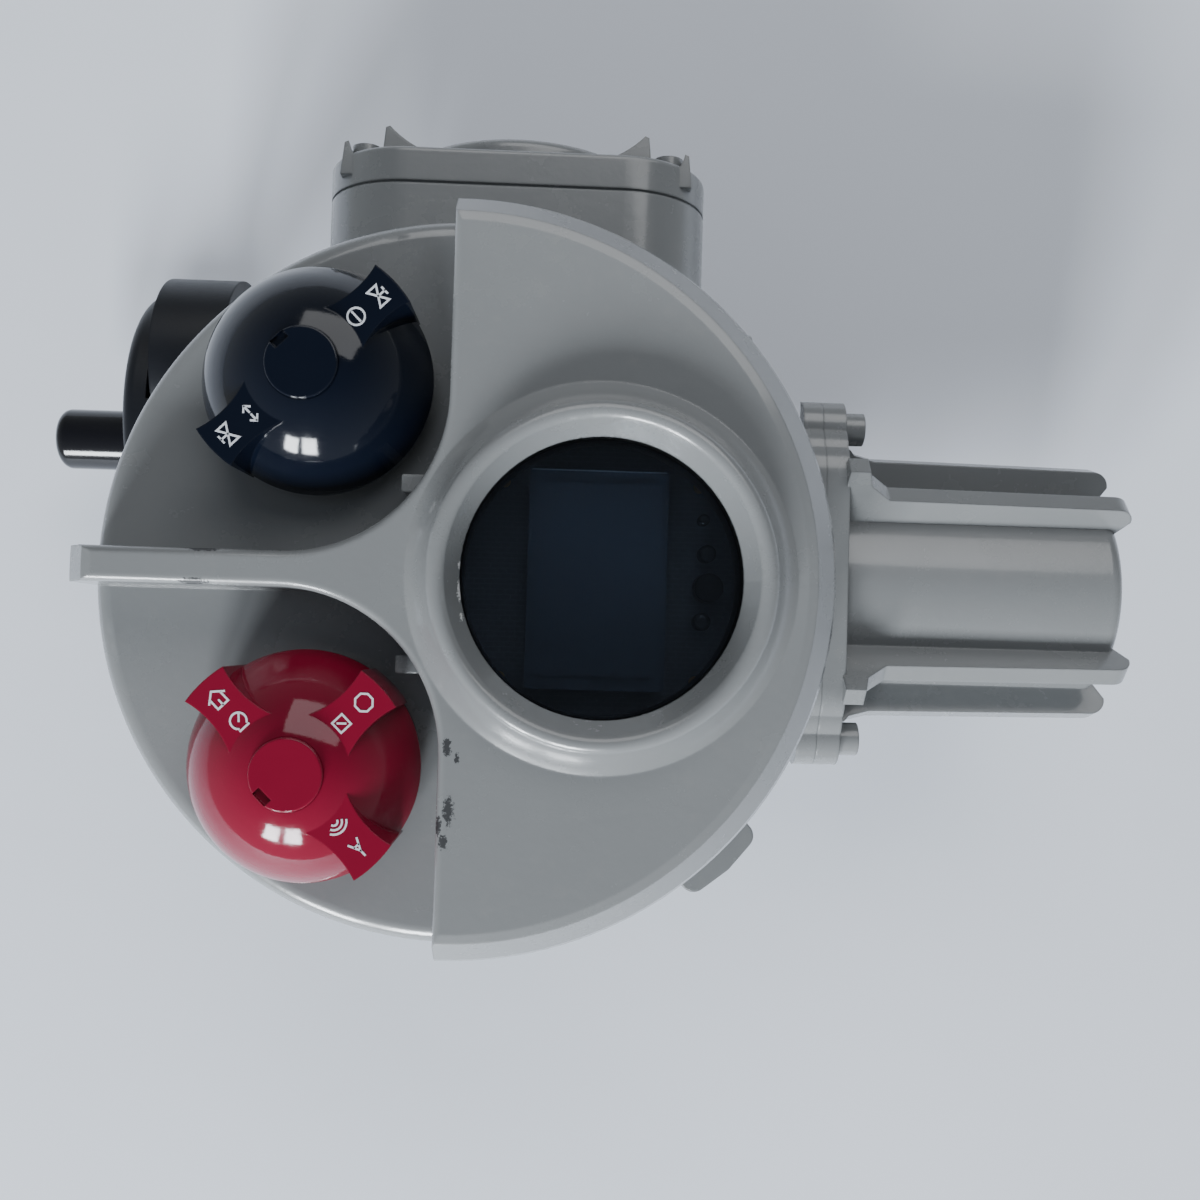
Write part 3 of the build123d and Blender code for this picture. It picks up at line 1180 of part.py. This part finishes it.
with BuildPart() as display_posts:
    with BuildSketch(WINDOW.offset(BOARD_TOP_Z)):
        with GridLocations(DISPLAY_POST_PITCH, DISPLAY_POST_PITCH, 2, 2):
            RegularPolygon(3, 6)
    extrude(amount=DISPLAY_BOARD_Z - BOARD_TOP_Z)
save(display_posts, "display_posts")

with BuildPart() as transformer:
    with BuildSketch(Plane.XY.offset(BOARD_TOP_Z)):
        with Locations((16, -58)):
            RectangleRounded(44, 22, 2)
    extrude(amount=24)
save(transformer, "transformer")

with BuildPart() as relays:
    with BuildSketch(Plane.XY.offset(BOARD_TOP_Z)):
        with Locations((4, 56), (26, 56)):
            RectangleRounded(16, 12, 1)
    extrude(amount=15)
save(relays, "relays")

with BuildPart() as position_sensor:
    with BuildSketch(Plane.XY.offset(MAIN_BOARD_Z - 3)):
        Rectangle(9, 9)
    extrude(amount=3)
save(position_sensor, "position_sensor")

with BuildPart() as position_magnet:
    with BuildSketch(Plane.XY.offset(SLEEVE_TOP_Z + MAGNET_LIFT)):
        Circle(6)
    extrude(amount=4)
save(position_magnet, "position_magnet")

cover_screw_seats = [
    Plane(origin=(x, y, RIM_Z), x_dir=(1, 0, 0), z_dir=(0, 0, -1)) for x, y in EAR_CENTRES
]
save(cap_screws(cover_screw_seats, COVER_SCREW_R, JOINT_Z - RIM_Z + 5, 5, 6), "cover_screws")
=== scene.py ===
import json
import math

import bmesh
import bpy
from mathutils import Matrix, Vector

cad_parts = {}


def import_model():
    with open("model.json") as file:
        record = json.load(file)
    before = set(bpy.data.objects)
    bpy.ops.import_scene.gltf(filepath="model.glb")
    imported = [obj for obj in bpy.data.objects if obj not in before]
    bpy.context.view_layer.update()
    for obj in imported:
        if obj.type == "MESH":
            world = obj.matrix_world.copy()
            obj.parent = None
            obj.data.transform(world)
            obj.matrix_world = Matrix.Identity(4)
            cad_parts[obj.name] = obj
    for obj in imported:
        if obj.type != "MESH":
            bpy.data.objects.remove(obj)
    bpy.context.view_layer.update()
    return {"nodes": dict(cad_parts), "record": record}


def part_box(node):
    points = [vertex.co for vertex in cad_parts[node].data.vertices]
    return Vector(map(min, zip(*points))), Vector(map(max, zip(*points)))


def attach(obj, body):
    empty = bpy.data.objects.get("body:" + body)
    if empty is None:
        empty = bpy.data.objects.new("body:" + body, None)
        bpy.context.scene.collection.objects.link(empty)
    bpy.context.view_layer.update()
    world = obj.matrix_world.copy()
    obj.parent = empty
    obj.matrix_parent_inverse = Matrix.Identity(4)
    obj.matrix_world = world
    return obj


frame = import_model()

NODES = frame["nodes"]
MM = 0.001

KNOB_X = -50.0 * MM
KNOB_Y = 50.0 * MM
TAB_TOP = 168.5 * MM

BEVEL_SAMPLES = 4
RAGGED = 4.2  # how far the noise breaks up the border of a chip
CHIP_SPREAD = 1.15 * MM
CHIP_SEED_STEP = 3.1


# ---- node helpers -------------------------------------------------------------------
class Shader:
    """A small wrapper that builds one procedural material around a Principled shader."""

    def __init__(self, name):
        self.material = bpy.data.materials.new(name)
        self.material.use_nodes = True
        self.tree = self.material.node_tree
        self.nodes = self.tree.nodes
        self.bsdf = self.nodes["Principled BSDF"]
        self.place = self.nodes.new("ShaderNodeTexCoord").outputs["Object"]

    def set(self, **values):
        """Sets constant inputs; underscores stand for the spaces in their names."""
        for key, value in values.items():
            self.bsdf.inputs[key.replace("_", " ")].default_value = value
        return self

    def link(self, source, target):
        self.tree.links.new(source, self.bsdf.inputs[target])

    def noise(self, scale, detail=3.0, rough=0.55, stretch=(1, 1, 1), seed=0.0):
        mapping = self.nodes.new("ShaderNodeMapping")
        mapping.inputs["Scale"].default_value = stretch
        mapping.inputs["Location"].default_value = (seed, seed * 0.7, seed * 1.3)
        self.tree.links.new(self.place, mapping.inputs["Vector"])
        noise = self.nodes.new("ShaderNodeTexNoise")
        noise.inputs["Scale"].default_value = scale
        noise.inputs["Detail"].default_value = detail
        noise.inputs["Roughness"].default_value = rough
        self.tree.links.new(mapping.outputs["Vector"], noise.inputs["Vector"])
        return noise.outputs["Fac"]

    def grey_ramp(self, source, low, high, start=0.0, end=1.0):
        """Maps start..end of the source to low..high."""
        ramp = self.nodes.new("ShaderNodeValToRGB")
        for element, position, grey in zip(ramp.color_ramp.elements, (start, end), (low, high)):
            element.position = position
            element.color = (grey, grey, grey, 1.0)
        self.tree.links.new(source, ramp.inputs["Fac"])
        return ramp.outputs["Color"]

    def mix(self, factor, first, second):
        """Blends two colours; each is an RGB tuple or a socket."""
        mix = self.nodes.new("ShaderNodeMix")
        mix.data_type = "RGBA"
        self.tree.links.new(factor, mix.inputs[0])
        for socket, value in ((mix.inputs[6], first), (mix.inputs[7], second)):
            if isinstance(value, tuple):
                socket.default_value = (*value, 1.0)
            else:
                self.tree.links.new(value, socket)
        return mix.outputs[2]

    def math(self, operation, first, second):
        """Joins two values; each is a number or a socket."""
        node = self.nodes.new("ShaderNodeMath")
        node.operation = operation
        for socket, value in zip(node.inputs, (first, second)):
            if isinstance(value, (int, float)):
                socket.default_value = value
            else:
                self.tree.links.new(value, socket)
        return node.outputs[0]

    def bump(self, *layers, edge=0.0):
        """Stacks (height source, strength, distance) layers on edges rounded by edge metres."""
        normal = None
        if edge:
            rounded = self.nodes.new("ShaderNodeBevel")
            rounded.samples = BEVEL_SAMPLES
            rounded.inputs["Radius"].default_value = edge
            normal = rounded.outputs["Normal"]
        for height, strength, distance in layers:
            bump = self.nodes.new("ShaderNodeBump")
            bump.inputs["Strength"].default_value = strength
            bump.inputs["Distance"].default_value = distance
            self.tree.links.new(height, bump.inputs["Height"])
            if normal is not None:
                self.tree.links.new(normal, bump.inputs["Normal"])
            normal = bump.outputs["Normal"]
        self.link(normal, "Normal")

    def spot(self, centre, size, seed):
        """Mask of one ragged patch: 1 inside an ellipsoid whose border a fine noise breaks up."""
        mapping = self.nodes.new("ShaderNodeMapping")
        mapping.vector_type = "TEXTURE"
        mapping.inputs["Location"].default_value = centre
        mapping.inputs["Scale"].default_value = size
        self.tree.links.new(self.place, mapping.inputs["Vector"])
        length = self.nodes.new("ShaderNodeVectorMath")
        length.operation = "LENGTH"
        self.tree.links.new(mapping.outputs["Vector"], length.inputs[0])
        edge = self.math("MULTIPLY", self.noise(1500, 5, 0.75, seed=seed), RAGGED)
        reach = self.math("ADD", length.outputs["Value"], edge)
        return self.math("LESS_THAN", reach, 1.0 + RAGGED / 2)


# ---- materials ----------------------------------------------------------------------
CHIPS = [  # centre and half size in millimetres
    ((-12.2, -43.0, 165.0), (0.8, 1.7, 3.0)),
    ((-9.6, -45.6, 165.0), (0.5, 0.9, 2.0)),
    ((-11.3, -58.6, 165.0), (1.0, 2.7, 3.0)),
    ((-13.8, -62.5, 164.5), (0.6, 1.8, 3.0)),
    ((-12.4, -66.4, 165.0), (0.9, 1.4, 3.0)),
    ((-76.0, -3.9, 164.6), (2.6, 0.7, 2.0)),
    ((-74.0, 4.2, 164.6), (3.2, 0.35, 2.0)),
]
SCUFFS = [  # bare spots on the edge of the window
    ((-10.2, -4.0, 165.5), (0.5, 2.2, 2.0)),
    ((-10.4, 2.0, 165.5), (0.35, 0.8, 2.0)),
    ((-9.6, -11.0, 165.5), (0.4, 1.0, 2.0)),
]
CHIP_DARK = (0.022, 0.023, 0.025)
CHIP_BARE = (0.80, 0.80, 0.79)
CHIP_ROUGH = (0.6, 0.6, 0.6)
GREY = (0.200, 0.207, 0.209)
DUST = (0.30, 0.29, 0.27)


def ragged_mask(s, patches):
    """One mask for several ragged patches given as (centre, half size) in millimetres."""
    mask = None
    for number, (centre, size) in enumerate(patches):
        place = [c * MM for c in centre]
        patch = s.spot(place, [h * CHIP_SPREAD for h in size], number * CHIP_SEED_STEP)
        mask = patch if mask is None else s.math("MAXIMUM", mask, patch)
    return mask


def painted(name, colour, worn=False):
    """Semi-gloss powder coat: orange peel, mottling and, where worn, dark and bare chips."""
    s = Shader(name).set(Coat_Weight=0.45, Coat_Roughness=0.10)
    tone = s.grey_ramp(s.noise(9, 4, seed=2.0), 0.0, 1.0, 0.3, 0.7)
    dust = s.grey_ramp(s.noise(160, 6, 0.7, seed=5.0), 0.0, 0.16, 0.55, 0.85)
    shade = s.mix(tone, tuple(c * 0.93 for c in colour), tuple(c * 1.04 for c in colour))
    shade = s.mix(dust, shade, DUST)
    streaks = s.noise(34, 6, 0.75, stretch=(1.0, 2.6, 1.0), seed=11.0)
    grime = s.grey_ramp(streaks, 0.0, 0.22, 0.60, 0.82)
    shade = s.mix(grime, shade, tuple(c * 0.55 for c in colour))
    rough = s.grey_ramp(s.noise(55, 5, 0.65, seed=1.0), 0.20, 0.32, 0.3, 0.75)
    layers = [
        (s.noise(420, 2, 0.5), 0.09, 0.4 * MM),
        (s.noise(1800, 2, 0.5, seed=3.0), 0.05, 0.2 * MM),
    ]
    if worn:
        dark = ragged_mask(s, CHIPS)
        bare = ragged_mask(s, SCUFFS)
        shade = s.mix(bare, s.mix(dark, shade, CHIP_DARK), CHIP_BARE)
        rough = s.mix(dark, rough, CHIP_ROUGH)
        layers.append((s.math("SUBTRACT", 1.0, s.math("MAXIMUM", dark, bare)), 0.6, 0.2 * MM))
    s.link(shade, "Base Color")
    s.link(rough, "Roughness")
    s.bump(*layers, edge=0.9 * MM)
    return s.material


def plastic(name, colour, rough, coat=0.0, grain=0.04, edge=0.5):
    """Moulded plastic: swirl in the gloss, fine scratches and dust; edge is in millimetres."""
    s = Shader(name).set(Coat_Weight=coat, Coat_Roughness=0.05, Specular_IOR_Level=0.3)
    scratch = s.noise(260, 5, 0.75, stretch=(1.0, 9.0, 1.0), seed=7.0)
    haze = s.noise(40, 4, 0.6, seed=4.0)
    lint = s.grey_ramp(s.noise(620, 6, 0.8, seed=12.0), 0.0, 0.05, 0.66, 0.80)
    faded = tuple(min(1.0, c * 1.2 + 0.002) for c in colour)
    shade = s.mix(s.grey_ramp(haze, 0.0, 0.35, 0.4, 0.8), colour, faded)
    s.link(s.mix(lint, shade, DUST), "Base Color")
    rubbed = s.math("MULTIPLY", scratch, haze)
    s.link(s.grey_ramp(rubbed, rough, rough + 0.14, 0.2, 0.55), "Roughness")
    pebble = s.noise(900, 3, 0.5)
    s.bump((pebble, grain, 0.2 * MM), (scratch, grain * 0.6, 0.1 * MM), edge=edge * MM)
    return s.material


def metal(name, colour, rough, brushed):
    """Machined metal: directional tool marks and a soft colour drift."""
    s = Shader(name).set(Metallic=1.0)
    marks = s.noise(300, 5, 0.7, stretch=brushed)
    drift = s.noise(30, 3, seed=6.0)
    darker = tuple(c * 0.8 for c in colour)
    s.link(s.mix(s.grey_ramp(drift, 0.0, 1.0, 0.35, 0.7), colour, darker), "Base Color")
    s.link(s.grey_ramp(marks, rough - 0.08, rough + 0.12, 0.3, 0.7), "Roughness")
    s.bump((marks, 0.08, 0.2 * MM), edge=0.3 * MM)
    return s.material


def rubber(name):
    """Dull black rubber with a fine moulded grain."""
    s = Shader(name)
    grain = s.noise(500, 4)
    tone = s.grey_ramp(grain, 0.0, 1.0, 0.4, 0.7)
    s.link(s.mix(tone, (0.018, 0.018, 0.019), (0.04, 0.04, 0.04)), "Base Color")
    s.link(s.grey_ramp(grain, 0.66, 0.84, 0.3, 0.7), "Roughness")
    s.bump((grain, 0.2, 0.3 * MM))
    return s.material


def circuit_board(name, colour):
    """Solder mask over tracks, which a brick pattern stands for."""
    s = Shader(name)
    cells = s.nodes.new("ShaderNodeTexBrick")
    cells.inputs["Scale"].default_value = 180
    cells.inputs["Mortar Size"].default_value = 0.03
    s.tree.links.new(s.place, cells.inputs["Vector"])
    tracks = tuple(c * 1.25 + 0.002 for c in colour)
    s.link(s.mix(s.grey_ramp(cells.outputs["Fac"], 0.0, 0.6), colour, tracks), "Base Color")
    s.link(s.grey_ramp(s.noise(120, 4), 0.35, 0.5, 0.3, 0.7), "Roughness")
    s.bump((cells.outputs["Fac"], 0.2, 0.1 * MM))
    return s.material


def window_glass(name):
    """Tinted pane with faint wipe marks in its gloss."""
    s = Shader(name).set(Base_Color=(0.50, 0.56, 0.63, 1), IOR=1.45, Transmission_Weight=1.0)
    smear = s.noise(14, 2, 0.5, stretch=(1, 2, 1), seed=8.0)
    s.link(s.grey_ramp(smear, 0.024, 0.034, 0.1, 0.9), "Roughness")
    return s.material


LCD_LINE = 0.35 * MM


def display_panel(name, top_edge):
    """Switched-off liquid crystal: deep navy, faint pixel grid, a light line along its far edge."""
    s = Shader(name)
    split = s.nodes.new("ShaderNodeSeparateXYZ")
    s.tree.links.new(s.place, split.inputs["Vector"])
    grid = s.nodes.new("ShaderNodeTexChecker")
    grid.inputs["Scale"].default_value = 1500
    s.tree.links.new(s.place, grid.inputs["Vector"])
    panel = s.mix(grid.outputs["Fac"], (0.056, 0.069, 0.094), (0.058, 0.071, 0.097))
    line = s.math("GREATER_THAN", split.outputs["Y"], top_edge - LCD_LINE)
    s.link(s.mix(line, panel, (0.26, 0.30, 0.36)), "Base Color")
    s.link(s.grey_ramp(s.noise(90, 4), 0.30, 0.33, 0.1, 0.9), "Roughness")
    s.bump((s.noise(300, 2), 0.004, 0.1 * MM))
    return s.material


def printed_white(name):
    """Screen-printed ink, thinner where fingers have worn it."""
    s = Shader(name)
    wear = s.noise(900, 4, 0.7)
    thin = s.grey_ramp(wear, 0.0, 0.6, 0.5, 0.8)
    s.link(s.mix(thin, (0.62, 0.64, 0.68), (0.34, 0.35, 0.37)), "Base Color")
    s.link(s.grey_ramp(wear, 0.42, 0.6, 0.4, 0.8), "Roughness")
    s.bump((wear, 0.05, 0.1 * MM))
    return s.material


PAINT = painted("powder_coat", GREY)
MATERIALS = {
    "grey_paint": PAINT,
    "black_gloss": plastic("black_gloss", (0.0028, 0.0048, 0.0110), rough=0.07, coat=0.15),
    "red_gloss": plastic("red_gloss", (0.185, 0.0040, 0.022), rough=0.07, coat=0.1),
    "black_satin": plastic("black_satin", (0.0065, 0.0075, 0.0105), rough=0.36, grain=0.12, edge=0.8),
    "black_grip": plastic("black_grip", (0.006, 0.006, 0.008), rough=0.13, coat=0.3),
    "clear_glass": window_glass("clear_glass"),
    "black_rubber": rubber("black_rubber"),
    "steel": metal("steel", (0.56, 0.56, 0.57), rough=0.34, brushed=(1, 1, 14)),
    "bronze": metal("bronze", (0.62, 0.40, 0.17), rough=0.36, brushed=(1, 1, 8)),
    "bare_aluminium": metal("bare_aluminium", (0.74, 0.74, 0.76), rough=0.38, brushed=(10, 1, 1)),
    "board_green": circuit_board("board_green", (0.006, 0.03, 0.02)),
    "board_parts": plastic("board_parts", (0.009, 0.009, 0.011), rough=0.45, grain=0.1),
    "lcd": display_panel("lcd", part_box("lcd_module")[1][1]),
    "lamp": plastic("lamp", (0.035, 0.036, 0.040), rough=0.12, coat=0.3),
    "copper": metal("copper", (0.63, 0.27, 0.14), rough=0.4, brushed=(40, 1, 1)),
}
SPECIAL = {  # nodes that look different from their material slot
    "control_cover": painted("powder_coat_worn", GREY, worn=True),
    "display_board": circuit_board("board_black", (0.085, 0.092, 0.104)),
    "window_retainer": plastic("black_anodised", (0.010, 0.011, 0.013), rough=0.3),
    "terminal_lid_screws": PAINT,
    "motor_screws": PAINT,
}
SLOT_OF = {entry["node"]: entry["material_slot"] for entry in frame["record"]["subparts"]}
for node, obj in NODES.items():
    obj.data.materials.clear()
    obj.data.materials.append(SPECIAL.get(node, MATERIALS[SLOT_OF[node]]))


# ---- pictograms printed on the knob tabs --------------------------------------------
def arc(radius, start, end, centre=(0.0, 0.0), steps=10):
    """Points of a circular arc; the angles are in degrees."""
    turns = [math.radians(start + (end - start) * i / steps) for i in range(steps + 1)]
    return [(centre[0] + radius * math.cos(t), centre[1] + radius * math.sin(t)) for t in turns]


ICONS = {  # strokes in a square from -1 to 1
    "valve": [[(-0.9, -0.55), (-0.9, 0.55), (0.9, -0.55), (0.9, 0.55), (-0.9, -0.55)],
              [(0, 0), (0, 0.8)], [(-0.35, 0.8), (0.35, 0.8)]],
    "barred_ring": [arc(0.8, 0, 360, steps=20), [(-0.55, 0.0), (0.55, 0.0)]],
    "parting_arrows": [[(-0.15, 0), (-0.85, 0)], [(-0.5, 0.4), (-0.9, 0), (-0.5, -0.4)],
                       [(0.15, 0), (0.85, 0)], [(0.5, 0.4), (0.9, 0), (0.5, -0.4)]],
    "house": [[(-0.9, 0.1), (0, 0.85), (0.9, 0.1)],
              [(-0.6, 0.2), (-0.6, -0.75), (0.6, -0.75), (0.6, 0.2)], [(0, -0.75), (0, -0.2)]],
    "dial": [arc(0.75, -50, 230, steps=16), [(0, -0.05), (0.42, 0.42)], [(-0.5, -0.8), (0.5, -0.8)]],
    "octagon": [arc(0.85, 22.5, 382.5, steps=8)],
    "square": [[(-0.6, -0.6), (-0.6, 0.6), (0.6, 0.6), (0.6, -0.6), (-0.6, -0.6)],
               [(-0.25, -0.25), (0.25, 0.25)]],
    "mast": [[(-0.5, -0.8), (0, 0.25), (0.5, -0.8)], [(-0.25, -0.3), (0.25, -0.3)], [(0, 0.25), (0, 0.8)]],
    "waves": [arc(0.35, 25, 155, (0, -0.55)), arc(0.75, 30, 150, (0, -0.55)),
              arc(1.15, 35, 145, (0, -0.55))],
}
ICON_HALF = 2.7 * MM
STROKE_HALF = 0.27 * MM
STROKE_TOP = 0.8  # width of the ink's top against its foot
STROKE_OVERRUN = 0.8  # how far an open end runs on, in half widths
SHARPEST_MITRE = 0.45
INK_HEIGHT = 0.10 * MM
INK_SINK = 0.02 * MM
INK_REACH = (25.0 * MM, 17.6 * MM)
PRINTS = [  # body, knob centre, direction of the tab in degrees, outer and inner pictogram
    ("black_selector", (KNOB_X, KNOB_Y), 45, ("valve", "barred_ring")),
    ("black_selector", (KNOB_X, KNOB_Y), 225, ("valve", "parting_arrows")),
    ("red_selector", (KNOB_X, -KNOB_Y), 135, ("house", "dial")),
    ("red_selector", (KNOB_X, -KNOB_Y), 45, ("octagon", "square")),
    ("red_selector", (KNOB_X, -KNOB_Y), 315, ("mast", "waves")),
]


def directions(points, i):
    """Unit vectors of the segments that meet at point i; a closed stroke wraps round."""
    closed = (Vector(points[0]) - Vector(points[-1])).length < 1e-6
    before = points[i - 1] if i > 0 else points[-2]
    after = points[i + 1] if i < len(points) - 1 else points[1]
    leads = []
    if i > 0 or closed:
        leads.append((Vector(points[i]) - Vector(before)).normalized())
    if i < len(points) - 1 or closed:
        leads.append((Vector(after) - Vector(points[i])).normalized())
    return leads


def stroke(build, points, place):
    """A raised ribbon along the points with mitred corners."""
    rails = []
    for i, point in enumerate(points):
        leads = directions(points, i)
        along = sum(leads, Vector((0.0, 0.0))).normalized()
        widening = max(SHARPEST_MITRE, abs(along.dot(leads[0])))
        across = Vector((-along.y, along.x)) * STROKE_HALF / widening
        middle = Vector(point) * ICON_HALF
        if len(leads) == 1:
            overrun = along * STROKE_HALF * STROKE_OVERRUN
            middle += -overrun if i == 0 else overrun
        rail = [
            (middle + across, -INK_SINK),
            (middle + across * STROKE_TOP, INK_HEIGHT),
            (middle - across * STROKE_TOP, INK_HEIGHT),
            (middle - across, -INK_SINK),
        ]
        rails.append([build.verts.new(place @ Vector((q.x, q.y, z))) for q, z in rail])
    for near, far in zip(rails, rails[1:]):
        for k in range(4):
            build.faces.new((near[k], near[(k + 1) % 4], far[(k + 1) % 4], far[k]))
    for rail in (rails[0], rails[-1]):
        build.faces.new(rail)


def pictogram(name, strokes, place, ink):
    """One printed icon as a mesh object."""
    build = bmesh.new()
    for points in strokes:
        stroke(build, points, place)
    bmesh.ops.recalc_face_normals(build, faces=build.faces)
    mesh = bpy.data.meshes.new(name)
    build.to_mesh(mesh)
    build.free()
    mesh.materials.append(ink)
    obj = bpy.data.objects.new(name, mesh)
    bpy.context.scene.collection.objects.link(obj)
    return obj


def printed_tabs():
    """Two icons on each tab, turned so that they read from the middle of the knob outwards."""
    ink = printed_white("white_ink")
    for body, (x, y), direction, icons in PRINTS:
        turn = Matrix.Rotation(math.radians(direction - 90), 4, "Z")
        hub = Matrix.Translation((x, y, TAB_TOP)) @ turn
        for reach, icon in zip(INK_REACH, icons):
            place = hub @ Matrix.Translation((0, reach, 0))
            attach(pictogram(f"{body}_print_{direction}_{icon}", ICONS[icon], place, ink), body)


printed_tabs()


# ---- camera, light and floor --------------------------------------------------------
CAMERA_PLACE = (0.0153, -0.0154, 0.4576)
CAMERA_TURN = (  # columns: right, up and backward of a camera that looks almost straight down
    (0.99905, -0.02971, -0.03176),
    (0.02864, 0.99902, -0.03373),
    (0.03273, 0.03278, 0.99893),
)
FLOOR_DROP = 0.2 * MM
PANE_PITCH = 0.68
HORIZON = (0.90, 0.96, 1.0, 1)
CEILING = (0.19, 0.215, 0.26, 1)


def area_light(name, place, target, size, power, colour):
    light = bpy.data.lights.new(name, "AREA")
    light.shape = "RECTANGLE"
    light.size, light.size_y = size
    light.energy = power
    light.color = colour
    obj = bpy.data.objects.new(name, light)
    obj.location = place
    obj.rotation_euler = (Vector(target) - Vector(place)).to_track_quat("-Z", "Y").to_euler()
    bpy.context.scene.collection.objects.link(obj)


def camera():
    data = bpy.data.cameras.new("camera")
    data.lens = 35.3
    data.sensor_width = 36.0
    data.clip_start = 0.01
    obj = bpy.data.objects.new("camera", data)
    obj.matrix_world = Matrix.Translation(CAMERA_PLACE) @ Matrix(CAMERA_TURN).to_4x4()
    bpy.context.scene.collection.objects.link(obj)
    bpy.context.scene.camera = obj


def floor():
    """A sheet of pale paper, a hair below the base so that the two don't coincide."""
    mesh = bpy.data.meshes.new("floor")
    build = bmesh.new()
    bmesh.ops.create_grid(build, x_segments=8, y_segments=8, size=1.6)
    build.to_mesh(mesh)
    build.free()
    obj = bpy.data.objects.new("floor", mesh)
    obj.location.z = -FLOOR_DROP
    bpy.context.scene.collection.objects.link(obj)
    s = Shader("paper_floor")
    tone = s.noise(3, 3, seed=9.0)
    drift = s.grey_ramp(tone, 0.0, 1.0, 0.3, 0.7)
    s.link(s.mix(drift, (0.755, 0.79, 0.86), (0.80, 0.83, 0.90)), "Base Color")
    s.link(s.grey_ramp(tone, 0.6, 0.75, 0.3, 0.7), "Roughness")
    s.bump((s.noise(250, 4), 0.05, 0.3 * MM), (s.noise(6, 3, seed=3.0), 0.25, 4 * MM))
    mesh.materials.append(s.material)


def world():
    """Dim ceiling and a brighter horizon, so that flat tops stay quiet and edges catch the light."""
    studio = bpy.data.worlds.new("studio")
    bpy.context.scene.world = studio
    studio.use_nodes = True
    nodes = studio.node_tree.nodes
    links = studio.node_tree.links
    background = nodes["Background"]
    background.inputs["Strength"].default_value = 0.56
    direction = nodes.new("ShaderNodeTexCoord")
    height = nodes.new("ShaderNodeVectorMath")
    height.operation = "DOT_PRODUCT"
    height.inputs[1].default_value = (0.1, 0.3, 0.9)
    ramp = nodes.new("ShaderNodeValToRGB")
    for element, position, colour in zip(ramp.color_ramp.elements, (0.0, 0.85), (HORIZON, CEILING)):
        element.position = position
        element.color = colour
    links.new(direction.outputs["Generated"], height.inputs[0])
    links.new(height.outputs["Value"], ramp.inputs["Fac"])
    links.new(ramp.outputs["Color"], background.inputs["Color"])


camera()
floor()
world()
for side in (-1, 1):
    area_light(
        f"window_pane_{side + 2}",
        place=(-0.7 + side * PANE_PITCH / 2, -2.2, 1.1),
        target=(0, 0, 0.05),
        size=(0.46, 0.7),
        power=68,
        colour=(0.90, 0.95, 1.0),
    )
area_light(
    "room_fill",
    place=(0.3, 1.3, 1.5),
    target=(0, 0, 0.1),
    size=(1.8, 1.2),
    power=20,
    colour=(0.98, 0.99, 1.0),
)
